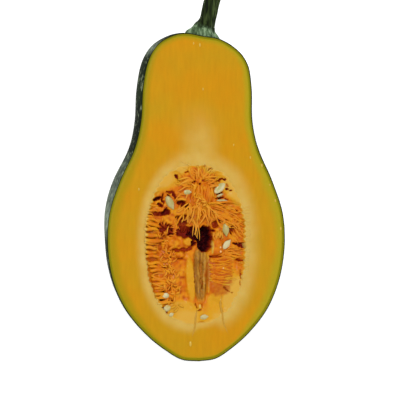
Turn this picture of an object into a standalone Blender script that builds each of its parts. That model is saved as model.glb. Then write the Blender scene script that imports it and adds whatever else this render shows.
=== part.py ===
"""Half of a bottle-shaped mini pumpkin, cut lengthwise and lying on its round back, cut face up.

Metres, +Z up. The origin is the middle of the small flat spot that it rests on, +Y runs towards
the stem and +X to the right of somebody who looks down on the cut face with the stem at the top.
The rind, the flesh, the seedy pulp and the stem are each one body.
"""

import math
import random

import bmesh
import bpy
from mathutils import Matrix, Vector, noise
from mathutils.bvhtree import BVHTree

MM = 0.001

# Driving dimensions
CUT_HEIGHT = 64.3 * MM
STEM_END_Y = 110.4 * MM
FRUIT_LENGTH = 208.8 * MM
RIND_THICKNESS = 1.5 * MM
FITTING_GAP = 0.3 * MM
KNIFE_REACH = 250.0 * MM

# The fruit's outline: millimetres from the stem end, and the radius there
MERIDIAN = (
    (0.0, 0.0),
    (0.7, 9.5),
    (3.5, 18.4),
    (10.3, 28.5),
    (20.4, 34.6),
    (36.0, 37.2),
    (56.0, 37.9),
    (74.0, 41.8),
    (94.0, 51.2),
    (112.0, 56.8),
    (129.0, 58.0),
    (147.0, 56.6),
    (163.0, 52.3),
    (178.0, 44.6),
    (192.5, 32.2),
    (202.6, 19.6),
    (207.6, 10.6),
    (FRUIT_LENGTH / MM, 0.0),
)
# The fruit's axis: millimetres from the stem end, and millimetres under the cut or to the right
AXIS_UNDER_CUT = ((0.0, 9.2), (68.0, 9.2), (97.0, 11.2), (140.0, 2.6), (172.0, 0.0))
AXIS_TO_RIGHT = ((0.0, 1.7), (62.0, 0.6), (150.0, 0.8), (FRUIT_LENGTH / MM, 1.6))
MERIDIAN_RINGS = 34
AROUND = 36
RIBS = 10
RIB_HEIGHT = 0.35 * MM
RIB_FADE = 22.0 * MM
SHOULDER_TILT = 0.085
SHOULDER_LENGTH = 26.0 * MM
# The shoulder sinks a little where the stem grows from it
DIP_DEPTH = 1.4 * MM
DIP_X = 4.5 * MM
DIP_SPREAD = 8.5 * MM
DIP_LENGTH = 12.0 * MM

# The seed cavity: a rounded bowl under the cut face
CAVITY_CENTRE = Vector((0.8 * MM, -24.0 * MM, 0.0))
CAVITY_HALF_WIDTH = 32.0 * MM
CAVITY_HALF_LENGTH = 50.5 * MM
CAVITY_DEPTH = 36.0 * MM
CAVITY_SQUARENESS = 2.3
CAVITY_SEGMENTS = 38
CAVITY_RINGS = 22
RIM_OVER_CUT = 1.0 * MM
OVER_THE_PULP = 6.0 * MM

# Pits in the pulp: x, y, half-width, half-length, turn in degrees and depth, in millimetres
PITS = (
    (5.5, -20.9, 6.0, 9.5, 0.0, 15.0),
    (-6.2, -15.8, 7.0, 4.6, 8.0, 8.0),
    (-19.2, -14.6, 4.4, 3.9, 0.0, 5.0),
    (-23.1, -3.8, 5.8, 2.9, 0.0, 5.0),
    (-6.8, 0.4, 4.6, 2.4, -25.0, 3.5),
    (27.0, -24.7, 4.6, 1.8, 0.0, 3.0),
    (18.2, -14.2, 5.6, 6.4, 0.0, 3.6),
    (-19.4, -60.0, 4.4, 3.2, 0.0, 3.0),
    (-17.4, -66.8, 4.0, 3.6, 0.0, 2.4),
    (2.9, -64.2, 3.2, 4.2, 0.0, 2.6),
    (2.9, -44.6, 5.0, 17.0, 0.0, 4.2),
)
PIT_REACH = 1.35
# The pulp's bed lies this far under the cut at its rim, and further in from there
RIM_UNDER_CUT = 0.4 * MM
RIM_SHARE = 1 / 6
PULP_UNDER_CUT = 2.9 * MM
PULP_BUMP = 1.3 * MM
PULP_BUMP_SIZE = 7.0 * MM

# Seeds: x, y and length in millimetres, turn and lean in degrees
SEEDS = (
    (16.6, 12.0, 12.0, 42.0, 12.0),
    (-5.2, 9.2, 9.6, 4.0, 30.0),
    (-17.3, 1.9, 12.0, -61.0, 14.0),
    (16.4, 6.8, 10.0, 32.0, 62.0),
    (18.2, 3.0, 10.0, 4.0, 60.0),
    (19.6, -15.2, 11.0, -78.0, 24.0),
    (20.2, -24.8, 10.0, 52.0, 10.0),
    (-19.9, -56.7, 8.6, 2.0, 30.0),
    (-18.9, -64.6, 8.6, 4.0, 20.0),
    (4.4, -70.2, 9.0, 6.0, 16.0),
)
SEED_SIDES = 9
SEED_RINGS = 6
SEED_WIDTH_SHARE = 0.56
SEED_TAPER = 0.45
SEED_THICKNESS = 3.0 * MM
SEED_OVER_BED = 1.1 * MM

# Rows of pulp strands, in millimetres and degrees: how many, the first and the last root (x, y),
# the first and the last direction, the length, the thickness and the curl
STRAND_ROWS = (
    (13, (-15.0, 6.0), (-20.0, -26.0), (168, 182), 13.0, 2.6, 0.05),
    (16, (-20.0, -28.5), (-9.0, -68.0), (180, 190), 13.5, 2.5, 0.05),
    (10, (13.0, 2.0), (19.5, -22.0), (-28, -12), 13.0, 2.3, -0.12),
    (14, (20.0, -26.0), (12.0, -66.0), (-8, 6), 13.0, 2.2, 0.08),
    (19, (10.0, 9.5), (-6.0, 9.5), (-8, 188), 14.0, 2.2, 0.22),
    (11, (6.5, 8.5), (-2.0, 8.5), (10, 170), 8.5, 2.0, -0.25),
    (11, (-6.0, -2.0), (10.0, -3.0), (-128, -58), 11.0, 2.0, 0.05),
    (7, (-2.5, 8.0), (7.0, 3.0), (-112, -74), 8.5, 2.4, 0.0),
    (8, (-6.0, 7.0), (-18.0, -7.0), (150, 205), 9.0, 2.3, 0.15),
    (6, (-12.0, -16.0), (-7.0, -30.0), (165, 200), 8.0, 2.8, 0.2),
    (9, (-8.0, -34.0), (-6.5, -58.0), (176, 186), 9.5, 2.3, 0.1),
    (4, (15.0, -18.0), (13.5, -27.0), (-95, -80), 8.0, 2.6, 0.1),
    (8, (8.5, -35.0), (8.0, -58.0), (-6, 8), 11.0, 2.2, 0.1),
)
ROOT_UNDER_CUT = 5.0 * MM
TIP_UNDER_CUT = 0.9 * MM
ROOT_SPREAD = 0.7
DIRECTION_SPREAD = 7.0
LENGTH_SPREAD = (0.85, 1.1)
STRAND_SIDES = 3
STRAND_BENDS = 3
STRAND_TAPER = 0.75
RANDOM_SEED = 8

# The stem's middle line: x and y, millimetres under the cut, and the half-width there
STEM_LINE = (
    (5.6, 101.0, 11.0, 19.0),
    (5.8, 105.2, 11.0, 14.5),
    (6.0, 107.6, 11.0, 11.6),
    (6.5, 110.2, 11.0, 9.0),
    (7.4, 113.0, 11.0, 7.4),
    (8.9, 116.2, 10.9, 5.7),
    (10.2, 120.3, 10.7, 5.0),
    (11.3, 125.4, 10.3, 5.1),
    (12.2, 130.4, 9.9, 5.1),
    (14.1, 136.4, 9.6, 5.2),
    (16.7, 143.0, 9.4, 5.8),
)
STEM_RIDGES = 5
STEM_RIDGE_SHARE = 0.10
STEM_FLATNESS = 0.84
STEM_SIDES = 25
STEM_RINGS = 16

# The colours, as linear red, green and blue
DARK_GREEN = (0.022, 0.048, 0.020)
GOLD = (0.62, 0.29, 0.012)
ORANGE = (0.66, 0.20, 0.012)
OLIVE = (0.06, 0.10, 0.035)
SHARPEST_SMOOTH = 35.0


def clear_scene():
    for obj in list(bpy.data.objects):
        bpy.data.objects.remove(obj, do_unlink=True)


def new_collection(name):
    collection = bpy.data.collections.new(name)
    bpy.context.scene.collection.children.link(collection)
    return collection


def add_object(name, bm, collection):
    """Turns the bmesh into an object in the collection, in triangles, which a Boolean keeps flat."""
    bmesh.ops.triangulate(bm, faces=bm.faces)
    mesh = bpy.data.meshes.new(name)
    bm.to_mesh(mesh)
    bm.free()
    obj = bpy.data.objects.new(name, mesh)
    collection.objects.link(obj)
    return obj


def hide_cutter(obj):
    obj.hide_render = True
    obj.display_type = "WIRE"
    return obj


def boolean(obj, other, operation="DIFFERENCE"):
    """Adds a Boolean with one object, or with every object of a collection."""
    modifier = obj.modifiers.new(operation.title(), "BOOLEAN")
    modifier.operation = operation
    if isinstance(other, bpy.types.Collection):
        modifier.operand_type = "COLLECTION"
        modifier.collection = other
    else:
        modifier.object = other


def paint(obj, name, colour, roughness):
    material = bpy.data.materials.new(name)
    material.use_nodes = True
    shader = material.node_tree.nodes["Principled BSDF"]
    shader.inputs["Base Color"].default_value = (*colour, 1.0)
    shader.inputs["Roughness"].default_value = roughness
    shader.inputs["Metallic"].default_value = 0.0
    obj.data.materials.clear()
    obj.data.materials.append(material)


def smooth_curve(points, count):
    """Evenly spread points on a smooth curve through the given ones."""
    knots = [0.0]
    for a, b in zip(points, points[1:]):
        knots.append(knots[-1] + math.sqrt((Vector(b) - Vector(a)).length))
    found = []
    for step in range(count):
        t = knots[-1] * step / (count - 1)
        span = max(i for i in range(len(points) - 1) if knots[i] <= t + 1e-9)
        width = knots[span + 1] - knots[span]
        found.append(hermite(points, knots, span, (t - knots[span]) / width))
    return found


def slope_at(points, knots, i):
    before, after = max(i - 1, 0), min(i + 1, len(points) - 1)
    return (Vector(points[after]) - Vector(points[before])) / (knots[after] - knots[before])


def hermite(points, knots, span, share):
    width = knots[span + 1] - knots[span]
    start, end = Vector(points[span]), Vector(points[span + 1])
    leave = slope_at(points, knots, span) * width
    arrive = slope_at(points, knots, span + 1) * width
    square, cube = share**2, share**3
    return (
        start * (2 * cube - 3 * square + 1)
        + leave * (cube - 2 * square + share)
        + end * (3 * square - 2 * cube)
        + arrive * (cube - square)
    )


def eased(share):
    share = min(max(share, 0.0), 1.0)
    return share * share * (3 - 2 * share)


def eased_table(table, at):
    """A value read from pairs of place and value, with a soft turn at each place."""
    for (start, low), (end, high) in zip(table, table[1:]):
        if at <= end:
            return low + (high - low) * eased((at - start) / (end - start))
    return table[-1][1]


def grown_shape(turned):
    """Moves a point of the plain turned fruit to where it grew: ribbed, tilted and off its axis."""
    from_stem = -turned.y
    radius = math.hypot(turned.x, turned.z)
    around = math.atan2(turned.z, turned.x)
    fade = eased(from_stem / RIB_FADE) * eased((FRUIT_LENGTH - from_stem) / RIB_FADE)
    radius += RIB_HEIGHT * fade * math.cos(RIBS * around)
    x = radius * math.cos(around) + eased_table(AXIS_TO_RIGHT, from_stem / MM) * MM
    z = radius * math.sin(around) - eased_table(AXIS_UNDER_CUT, from_stem / MM) * MM
    tilt = SHOULDER_TILT * (1 - eased(from_stem / SHOULDER_LENGTH))
    dip = DIP_DEPTH * math.exp(-(((x - DIP_X) / DIP_SPREAD) ** 2))
    dip *= 1 - eased(from_stem / DIP_LENGTH)
    return Vector((x, STEM_END_Y - from_stem - tilt * x - dip, CUT_HEIGHT + z))


def add_fruit(name, inset, collection):
    """The whole fruit as one closed body, its surface the given depth under the skin."""
    outline = smooth_curve(MERIDIAN, MERIDIAN_RINGS)
    profile = [Vector((max(radius, 0.0) * MM, -along * MM, 0.0)) for along, radius in outline]
    bm = bmesh.new()
    chain = [bm.verts.new(point) for point in profile]
    edges = [bm.edges.new(pair) for pair in zip(chain, chain[1:])]
    axis = Vector((0.0, 1.0, 0.0))
    bmesh.ops.spin(bm, geom=chain + edges, cent=(0, 0, 0), axis=axis, angle=math.tau, steps=AROUND)
    bmesh.ops.remove_doubles(bm, verts=bm.verts, dist=0.01 * MM)
    for vert in bm.verts:
        vert.co = grown_shape(vert.co)
    bmesh.ops.recalc_face_normals(bm, faces=bm.faces)
    bm.normal_update()
    for vert in bm.verts:
        vert.co -= vert.normal * inset
    return add_object(name, bm, collection)


def add_block(name, low, high, collection):
    bm = bmesh.new()
    bmesh.ops.create_cube(bm, size=1.0)
    low, high = Vector(low), Vector(high)
    for vert in bm.verts:
        vert.co = (low + high) / 2 + Vector(a * b for a, b in zip(vert.co, high - low))
    return hide_cutter(add_object(name, bm, collection))


def rim_radius(around, inset):
    """How far the cavity's rim lies from its middle, in the given direction."""
    across = abs(math.cos(around)) / (CAVITY_HALF_WIDTH - inset)
    along = abs(math.sin(around)) / (CAVITY_HALF_LENGTH - inset)
    return (across**CAVITY_SQUARENESS + along**CAVITY_SQUARENESS) ** (-1 / CAVITY_SQUARENESS)


def add_bowl(name, inset, top, collection):
    """A body that fills the cavity, its wall the given distance inside and its top at top(x, y)."""
    bm = bmesh.new()
    bmesh.ops.create_uvsphere(bm, u_segments=CAVITY_SEGMENTS, v_segments=CAVITY_RINGS, radius=1.0)
    for vert in bm.verts:
        around = math.atan2(vert.co.y, vert.co.x)
        on_top = vert.co.z > -1e-6
        share = math.hypot(vert.co.x, vert.co.y)
        if on_top:
            share = 1 - math.asin(min(vert.co.z, 1.0)) / (math.pi / 2)
        reach = rim_radius(around, inset) * share
        place = CAVITY_CENTRE + Vector((math.cos(around), math.sin(around), 0.0)) * reach
        wall_height = CUT_HEIGHT + RIM_OVER_CUT + (CAVITY_DEPTH - inset) * vert.co.z
        place.z = top(place.x, place.y) if on_top else wall_height
        vert.co = place
    return add_object(name, bm, collection)


def pit_depth(x, y):
    """The deepest pit at a place on the pulp."""
    deepest = 0.0
    for pit_x, pit_y, half_width, half_length, turn, depth in PITS:
        angle = math.radians(turn)
        dx, dy = x / MM - pit_x, y / MM - pit_y
        across = (dx * math.cos(angle) + dy * math.sin(angle)) / half_width
        along = (dy * math.cos(angle) - dx * math.sin(angle)) / half_length
        deepest = max(deepest, depth * MM * eased(PIT_REACH - math.hypot(across, along)))
    return deepest


def pulp_top(x, y):
    """The height of the pulp's bed: just under the cut, bumpy, and sunken at its pits."""
    offset = Vector((x, y, 0.0)) - CAVITY_CENTRE
    share = offset.length / rim_radius(math.atan2(offset.y, offset.x), FITTING_GAP)
    inside = eased((1 - share) / RIM_SHARE)
    bump = PULP_BUMP * noise.noise(Vector((x, y, 0.0)) / PULP_BUMP_SIZE)
    return CUT_HEIGHT - RIM_UNDER_CUT - inside * (PULP_UNDER_CUT + bump + pit_depth(x, y))


def add_strand(name, points, thickness, collection):
    """One tapering strand of pulp along a smooth curve, as a closed body."""
    line = smooth_curve(points, STRAND_BENDS + 1)
    bm = bmesh.new()
    rings = []
    for i, centre in enumerate(line):
        ahead = line[min(i + 1, STRAND_BENDS)] - line[max(i - 1, 0)]
        turn = ahead.to_track_quat("Z", "Y")
        radius = thickness / 2 * (1 - STRAND_TAPER * (i / STRAND_BENDS) ** 2)
        is_end = i in (0, STRAND_BENDS)
        made = bmesh.ops.create_circle(bm, cap_ends=is_end, segments=STRAND_SIDES, radius=radius)
        for vert in made["verts"]:
            vert.co = centre + turn @ vert.co
        rings.append(made["verts"])
    for lower, upper in zip(rings, rings[1:]):
        for i in range(STRAND_SIDES):
            after = (i + 1) % STRAND_SIDES
            bm.faces.new((lower[i], lower[after], upper[after], upper[i]))
    bmesh.ops.recalc_face_normals(bm, faces=bm.faces)
    return add_object(name, bm, collection)


def strand_points(root, angle, length, curl):
    """A strand's middle line, from its sunken root to its raised tip."""
    ahead = Vector((math.cos(angle), math.sin(angle), 0.0))
    aside = Vector((-math.sin(angle), math.cos(angle), 0.0))
    rise = Vector((0.0, 0.0, ROOT_UNDER_CUT - TIP_UNDER_CUT))
    start = Vector((root.x * MM, root.y * MM, CUT_HEIGHT - ROOT_UNDER_CUT))
    middle = start + ahead * length / 2 + rise * 0.75
    end = start + ahead * length + aside * curl * length + rise
    return [start, middle, end]


def add_strands(collection):
    draw = random.Random(RANDOM_SEED)
    number = 0
    for count, first, last, turns, length, thickness, curl in STRAND_ROWS:
        for i in range(count):
            share = i / (count - 1)
            root = Vector(first).lerp(Vector(last), share)
            root.x += draw.uniform(-ROOT_SPREAD, ROOT_SPREAD)
            root.y += draw.uniform(-ROOT_SPREAD, ROOT_SPREAD)
            turn = turns[0] + (turns[1] - turns[0]) * share
            turn += draw.uniform(-DIRECTION_SPREAD, DIRECTION_SPREAD)
            own_length = length * draw.uniform(*LENGTH_SPREAD) * MM
            points = strand_points(root, math.radians(turn), own_length, curl)
            add_strand(f"strand_{number:03d}", points, thickness * MM, collection)
            number += 1


def add_seed(name, place, bed, collection):
    """A flat, pointed seed, sunk a little into the pulp's bed."""
    x, y, length, turn, lean = place
    above = Vector((x * MM, y * MM, 2 * CUT_HEIGHT))
    under = bed.ray_cast(above, Vector((0.0, 0.0, -1.0)))[0]
    bm = bmesh.new()
    bmesh.ops.create_uvsphere(bm, u_segments=SEED_SIDES, v_segments=SEED_RINGS, radius=0.5)
    spin = Matrix.Rotation(math.radians(turn), 3, "Z") @ Matrix.Rotation(math.radians(lean), 3, "X")
    centre = under + Vector((0.0, 0.0, SEED_OVER_BED))
    for vert in bm.verts:
        taper = 1 - SEED_TAPER * eased(2 * vert.co.z)
        across = vert.co.y * length * SEED_WIDTH_SHARE * taper * MM
        thick = vert.co.x * SEED_THICKNESS * taper
        vert.co = centre + spin @ Vector((vert.co.z * length * MM, across, thick))
    bmesh.ops.recalc_face_normals(bm, faces=bm.faces)
    return add_object(name, bm, collection)


def apply_modifiers(obj):
    """Replaces the object's mesh by what its modifiers make of it."""
    graph = bpy.context.evaluated_depsgraph_get()
    obj.data = bpy.data.meshes.new_from_object(obj.evaluated_get(graph))
    obj.modifiers.clear()


def keep_largest_body(obj):
    """Fills the hollows that the union sealed and drops its loose scraps: only the outer body stays."""
    bm = bmesh.new()
    bm.from_mesh(obj.data)
    left = set(bm.faces)
    bodies = []
    while left:
        body, edge = set(), [left.pop()]
        while edge:
            face = edge.pop()
            body.add(face)
            near = {other for e in face.edges for other in e.link_faces} & left
            left -= near
            edge.extend(near)
        bodies.append(body)
    largest = max(bodies, key=lambda body: sum(face.calc_area() for face in body))
    scraps = [face for body in bodies if body is not largest for face in body]
    bmesh.ops.delete(bm, geom=scraps, context="FACES")
    bm.to_mesh(obj.data)
    bm.free()


def over_the_pulp(x, y):
    """The flat top of the bodies that reach over the cut and the pulp."""
    return CUT_HEIGHT + OVER_THE_PULP


def make_rind(parts, cutters, knife):
    """The thin skin of the half fruit, flat where it rests on the table."""
    reach = Vector((KNIFE_REACH, KNIFE_REACH, 0.0))
    under_table = Vector((0.0, 0.0, -KNIFE_REACH))
    table = add_block("table", -reach + under_table, reach, cutters)
    inside = hide_cutter(add_fruit("inside_of_rind", RIND_THICKNESS, cutters))
    rind = add_fruit("rind", 0.0, parts)
    boolean(rind, inside)
    boolean(rind, knife)
    boolean(rind, table)
    paint(rind, "rind", DARK_GREEN, 0.42)
    return rind


def make_flesh(parts, cutters, knife):
    """The flesh inside the rind, with the seed cavity scooped out of it."""
    cavity = hide_cutter(add_bowl("cavity", 0.0, over_the_pulp, cutters))
    flesh = add_fruit("flesh", RIND_THICKNESS + FITTING_GAP, parts)
    boolean(flesh, knife)
    boolean(flesh, cavity)
    paint(flesh, "flesh", GOLD, 0.45)
    return flesh


def make_pulp(parts, cutters, strands):
    """The pulp's bed with its strands and seeds joined to it in one union."""
    clip = hide_cutter(add_bowl("clip", FITTING_GAP / 2, over_the_pulp, cutters))
    pulp = add_bowl("pulp", FITTING_GAP, pulp_top, parts)
    add_strands(strands)
    corners = [vert.co for vert in pulp.data.vertices]
    faces = [face.vertices for face in pulp.data.polygons]
    bed = BVHTree.FromPolygons(corners, faces)
    for number, place in enumerate(SEEDS):
        add_seed(f"seed_{number:02d}", place, bed, strands)
    boolean(pulp, strands, "UNION")
    boolean(pulp, clip, "INTERSECT")
    apply_modifiers(pulp)
    keep_largest_body(pulp)
    for obj in list(strands.objects):
        bpy.data.objects.remove(obj, do_unlink=True)
    paint(pulp, "pulp", ORANGE, 0.35)
    return pulp


def stem_section():
    """The stem's ridged and slightly flat cross-section, as a curve to sweep."""
    curve = bpy.data.curves.new("stem_section", "CURVE")
    curve.dimensions = "2D"
    spline = curve.splines.new("POLY")
    spline.points.add(STEM_SIDES - 1)
    for i, point in enumerate(spline.points):
        around = math.tau * i / STEM_SIDES
        radius = 1 + STEM_RIDGE_SHARE * math.cos(STEM_RIDGES * around)
        point.co = (radius * math.cos(around), radius * math.sin(around) * STEM_FLATNESS, 0.0, 1.0)
    spline.use_cyclic_u = True
    return curve


def make_stem(parts, cutters, knife):
    """The stem swept along its middle line and flared where it grows from the fruit."""
    collar = hide_cutter(add_fruit("under_the_stem", -FITTING_GAP, cutters))
    section = bpy.data.objects.new("stem_section", stem_section())
    cutters.objects.link(hide_cutter(section))
    curve = bpy.data.curves.new("stem_line", "CURVE")
    curve.dimensions = "3D"
    curve.bevel_mode = "OBJECT"
    curve.bevel_object = section
    curve.use_fill_caps = True
    curve.twist_mode = "Z_UP"
    line = smooth_curve(STEM_LINE, STEM_RINGS)
    spline = curve.splines.new("POLY")
    spline.points.add(len(line) - 1)
    for point, (x, y, depth, half_width) in zip(spline.points, line):
        point.co = (x * MM, y * MM, CUT_HEIGHT - depth * MM, 1.0)
        point.radius = half_width * MM
    swept = bpy.data.objects.new("stem_line", curve)
    parts.objects.link(swept)
    graph = bpy.context.evaluated_depsgraph_get()
    mesh = bpy.data.meshes.new_from_object(swept.evaluated_get(graph))
    bm = bmesh.new()
    bm.from_mesh(mesh)
    bmesh.ops.remove_doubles(bm, verts=bm.verts, dist=0.01 * MM)
    bmesh.ops.recalc_face_normals(bm, faces=bm.faces)
    stem = add_object("stem", bm, parts)
    bpy.data.objects.remove(swept, do_unlink=True)
    boolean(stem, collar)
    boolean(stem, knife)
    paint(stem, "stem", OLIVE, 0.60)
    return stem


def shade_round(obj):
    obj.data.shade_smooth()
    obj.data.set_sharp_from_angle(angle=math.radians(SHARPEST_SMOOTH))


def main():
    clear_scene()
    parts = new_collection("mini_pumpkin_half")
    cutters = new_collection("cutters")
    strands = new_collection("strands")
    low = Vector((-KNIFE_REACH, -KNIFE_REACH, CUT_HEIGHT))
    high = Vector((KNIFE_REACH, KNIFE_REACH, CUT_HEIGHT + KNIFE_REACH))
    knife = add_block("knife", low, high, cutters)

    rind = make_rind(parts, cutters, knife)
    flesh = make_flesh(parts, cutters, knife)
    pulp = make_pulp(parts, cutters, strands)
    stem = make_stem(parts, cutters, knife)
    for obj in (rind, flesh, pulp, stem):
        shade_round(obj)


main()
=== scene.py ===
# %% [markdown]
# # Half of a mini pumpkin
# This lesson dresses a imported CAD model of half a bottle-shaped pumpkin. It lies on its round
# back with the cut face up: a thin green rind, thick golden flesh, a cavity full of wet, stringy
# pulp with cream seeds, and a bent, ribbed stem.
#
# The CAD model is the frame. It fixes where everything is, and each piece made here stands for
# one of its four nodes. Lengths are in metres, so a millimetre gets a name of its own.

# %% The frame
import math
import random

import bpy
from mathutils import Matrix, Vector, noise
from mathutils.bvhtree import BVHTree


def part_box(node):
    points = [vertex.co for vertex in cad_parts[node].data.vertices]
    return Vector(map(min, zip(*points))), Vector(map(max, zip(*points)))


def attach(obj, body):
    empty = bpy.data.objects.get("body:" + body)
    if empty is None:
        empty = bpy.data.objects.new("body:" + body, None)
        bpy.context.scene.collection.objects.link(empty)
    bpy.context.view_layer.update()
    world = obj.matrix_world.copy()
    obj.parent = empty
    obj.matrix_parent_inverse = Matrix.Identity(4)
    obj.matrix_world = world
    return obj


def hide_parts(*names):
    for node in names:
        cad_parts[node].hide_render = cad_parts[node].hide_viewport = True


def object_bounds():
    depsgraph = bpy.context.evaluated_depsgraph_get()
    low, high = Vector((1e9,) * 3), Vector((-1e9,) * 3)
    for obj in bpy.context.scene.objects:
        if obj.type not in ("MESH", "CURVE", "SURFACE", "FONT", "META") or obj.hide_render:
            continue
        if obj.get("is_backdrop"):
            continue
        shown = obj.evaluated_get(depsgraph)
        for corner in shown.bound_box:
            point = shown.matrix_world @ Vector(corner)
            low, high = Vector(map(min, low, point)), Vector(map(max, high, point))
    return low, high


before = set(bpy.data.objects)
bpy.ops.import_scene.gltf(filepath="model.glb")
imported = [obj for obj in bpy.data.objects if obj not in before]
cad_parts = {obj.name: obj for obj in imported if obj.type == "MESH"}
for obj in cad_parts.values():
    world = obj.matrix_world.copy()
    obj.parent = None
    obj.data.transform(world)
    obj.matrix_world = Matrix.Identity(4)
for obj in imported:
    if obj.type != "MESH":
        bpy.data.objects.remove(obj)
cad_low, cad_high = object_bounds()

MM = 0.001
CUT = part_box("rind")[1].z
print(f"The cut face lies {CUT / MM:.1f} mm over the table")

# %% [markdown]
# ## Small helpers
# Blender's operators act on whatever is selected, and the frame arrives selected. So every step
# starts by choosing one object. Points are picked by a rule on their place, as a hand would pick
# them with the mouse, and an organic shape is pushed into place with a rule that moves each point.


# %% Choosing, shaping and finishing a mesh
def choose(obj, mode="OBJECT"):
    """Makes obj the only selected object, in object mode or in edit mode with all of it picked."""
    if bpy.context.object and bpy.context.object.mode != "OBJECT":
        bpy.ops.object.mode_set(mode="OBJECT")
    bpy.ops.object.select_all(action="DESELECT")
    if obj is None:
        return
    obj.select_set(True)
    bpy.context.view_layer.objects.active = obj
    if mode == "EDIT":
        bpy.ops.object.mode_set(mode="EDIT")
        bpy.ops.mesh.select_mode(type="VERT")
        bpy.ops.mesh.select_all(action="SELECT")


def pick(obj, rule):
    """In edit mode, picks only the points whose place the rule accepts."""
    choose(obj, "EDIT")
    bpy.ops.mesh.select_all(action="DESELECT")
    bpy.ops.object.mode_set(mode="OBJECT")
    for vert in obj.data.vertices:
        vert.select = bool(rule(vert.co))
    bpy.ops.object.mode_set(mode="EDIT")


def reshape(obj, rule):
    """Pushes every point of the mesh to where the rule says."""
    choose(obj)
    for vert in obj.data.vertices:
        vert.co = rule(vert.co)
    obj.data.update()


def modify(obj, kind, **settings):
    """Adds a modifier and applies it at once."""
    choose(obj)
    modifier = obj.modifiers.new(kind.title(), kind)
    for name, value in settings.items():
        setattr(modifier, name, value)
    bpy.ops.object.modifier_apply(modifier=modifier.name)


def write_down(obj, name, rule):
    """Keeps a number for every point, which a material can read by that name."""
    values = obj.data.attributes.new(name, "FLOAT", "POINT")
    for vert, value in zip(obj.data.vertices, values.data):
        value.value = rule(vert.co)


def tidy_normals(obj):
    choose(obj, "EDIT")
    bpy.ops.mesh.normals_make_consistent(inside=False)
    choose(obj)


def smooth(obj, degrees=None):
    """Shades the mesh smooth, except, if an angle is given, over edges that turn by more."""
    choose(obj)
    if degrees is None:
        bpy.ops.object.shade_smooth()
    else:
        bpy.ops.object.shade_smooth_by_angle(angle=math.radians(degrees))


def named_new(name):
    """Names the primitive that was just added."""
    obj = bpy.context.object
    obj.name = name
    obj.data.name = name
    return obj


def fresh_copy(obj):
    """A copy of the object with a mesh of its own."""
    copy = obj.copy()
    copy.data = obj.data.copy()
    bpy.context.scene.collection.objects.link(copy)
    return copy


def triangles(obj):
    return sum(len(face.vertices) - 2 for face in obj.data.polygons)


# %% [markdown]
# ## Soft steps, tables and unevenness
# Almost nothing on a fruit has a hard step, so values go from one to the next with an eased
# share, slow at both ends. The outline is a smooth curve through a few measured points. Nothing
# on a fruit is quite even either, and a soft random number that depends on the place gives that.


# %% Easing, smooth curves and unevenness
def eased(share):
    share = min(max(share, 0.0), 1.0)
    return share * share * (3 - 2 * share)


def eased_table(table, at):
    """A value read from pairs of place and value, with a soft turn at each place."""
    for (start, low), (end, high) in zip(table, table[1:]):
        if at <= end:
            return low + (high - low) * eased((at - start) / (end - start))
    return table[-1][1]


def smooth_curve(points, count):
    """Points on a smooth curve through the given ones, closer together where those are."""
    points = [Vector(point) for point in points]
    knots = [0.0]
    for a, b in zip(points, points[1:]):
        knots.append(knots[-1] + math.sqrt((b - a).length))
    last = len(points) - 1

    def slope(i):
        before, after = max(i - 1, 0), min(i + 1, last)
        return (points[after] - points[before]) / (knots[after] - knots[before])

    found = []
    for step in range(count):
        at = knots[-1] * step / (count - 1)
        span = max(i for i in range(last) if knots[i] <= at + 1e-9)
        width = knots[span + 1] - knots[span]
        t = (at - knots[span]) / width
        found.append(
            points[span] * (2 * t**3 - 3 * t**2 + 1)
            + slope(span) * width * (t**3 - 2 * t**2 + t)
            + points[span + 1] * (3 * t**2 - 2 * t**3)
            + slope(span + 1) * width * (t**3 - t**2)
        )
    return found


def uneven(x, y, width, layer):
    """A number around 0, at most 1 either way, that changes over about that many millimetres."""
    return noise.noise(Vector((x, y, layer)) / width)


# %% [markdown]
# ## The whole fruit, turned and grown
# A bottle-shaped pumpkin is nearly a turned shape. A lathe would do, but this one grew: its axis
# lies a little under the cut, it has ten faint ribs and its shoulder is tilted. So a single point
# is extruded along half an outline and spun round the long axis, and then each point is pushed to
# where it grew. The rind, the flesh and the cutter under the stem all start from this one shape.

# %% The fruit's measures, in millimetres from the stem end
STEM_END_Y = 110.4
FRUIT_LENGTH = 208.8
OUTLINE = (
    (0.0, 0.0), (0.7, 9.5), (3.5, 18.4), (10.3, 28.5), (20.4, 34.6), (36.0, 37.2),
    (56.0, 37.9), (74.0, 41.8), (94.0, 51.2), (112.0, 56.8), (129.0, 58.0), (147.0, 56.6),
    (163.0, 52.3), (178.0, 44.6), (192.5, 32.2), (202.6, 19.6), (207.6, 10.6), (208.8, 0.0),
)
AXIS_UNDER_CUT = ((0.0, 9.2), (68.0, 9.2), (97.0, 11.2), (140.0, 2.6), (172.0, 0.0))
AXIS_TO_RIGHT = ((0.0, 1.7), (62.0, 0.6), (150.0, 0.8), (208.8, 1.6))
RIBS = 10
RIB_HEIGHT = 0.35
RIB_FADE = 22.0
SHOULDER_TILT = 0.085
SHOULDER_LENGTH = 26.0
# The shoulder sinks a little where the stem grows from it
DIP_DEPTH = 1.4
DIP_X = 4.5
DIP_SPREAD = 8.5
DIP_LENGTH = 12.0
# The skin stays a little inside the CAD model's facets, and waves
SKIN_SLACK = 0.12
SKIN_WAVE, SKIN_WAVE_WIDTH = 0.16, 19.0
OUTLINE_STEPS = 96
TURN_STEPS = 144


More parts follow.
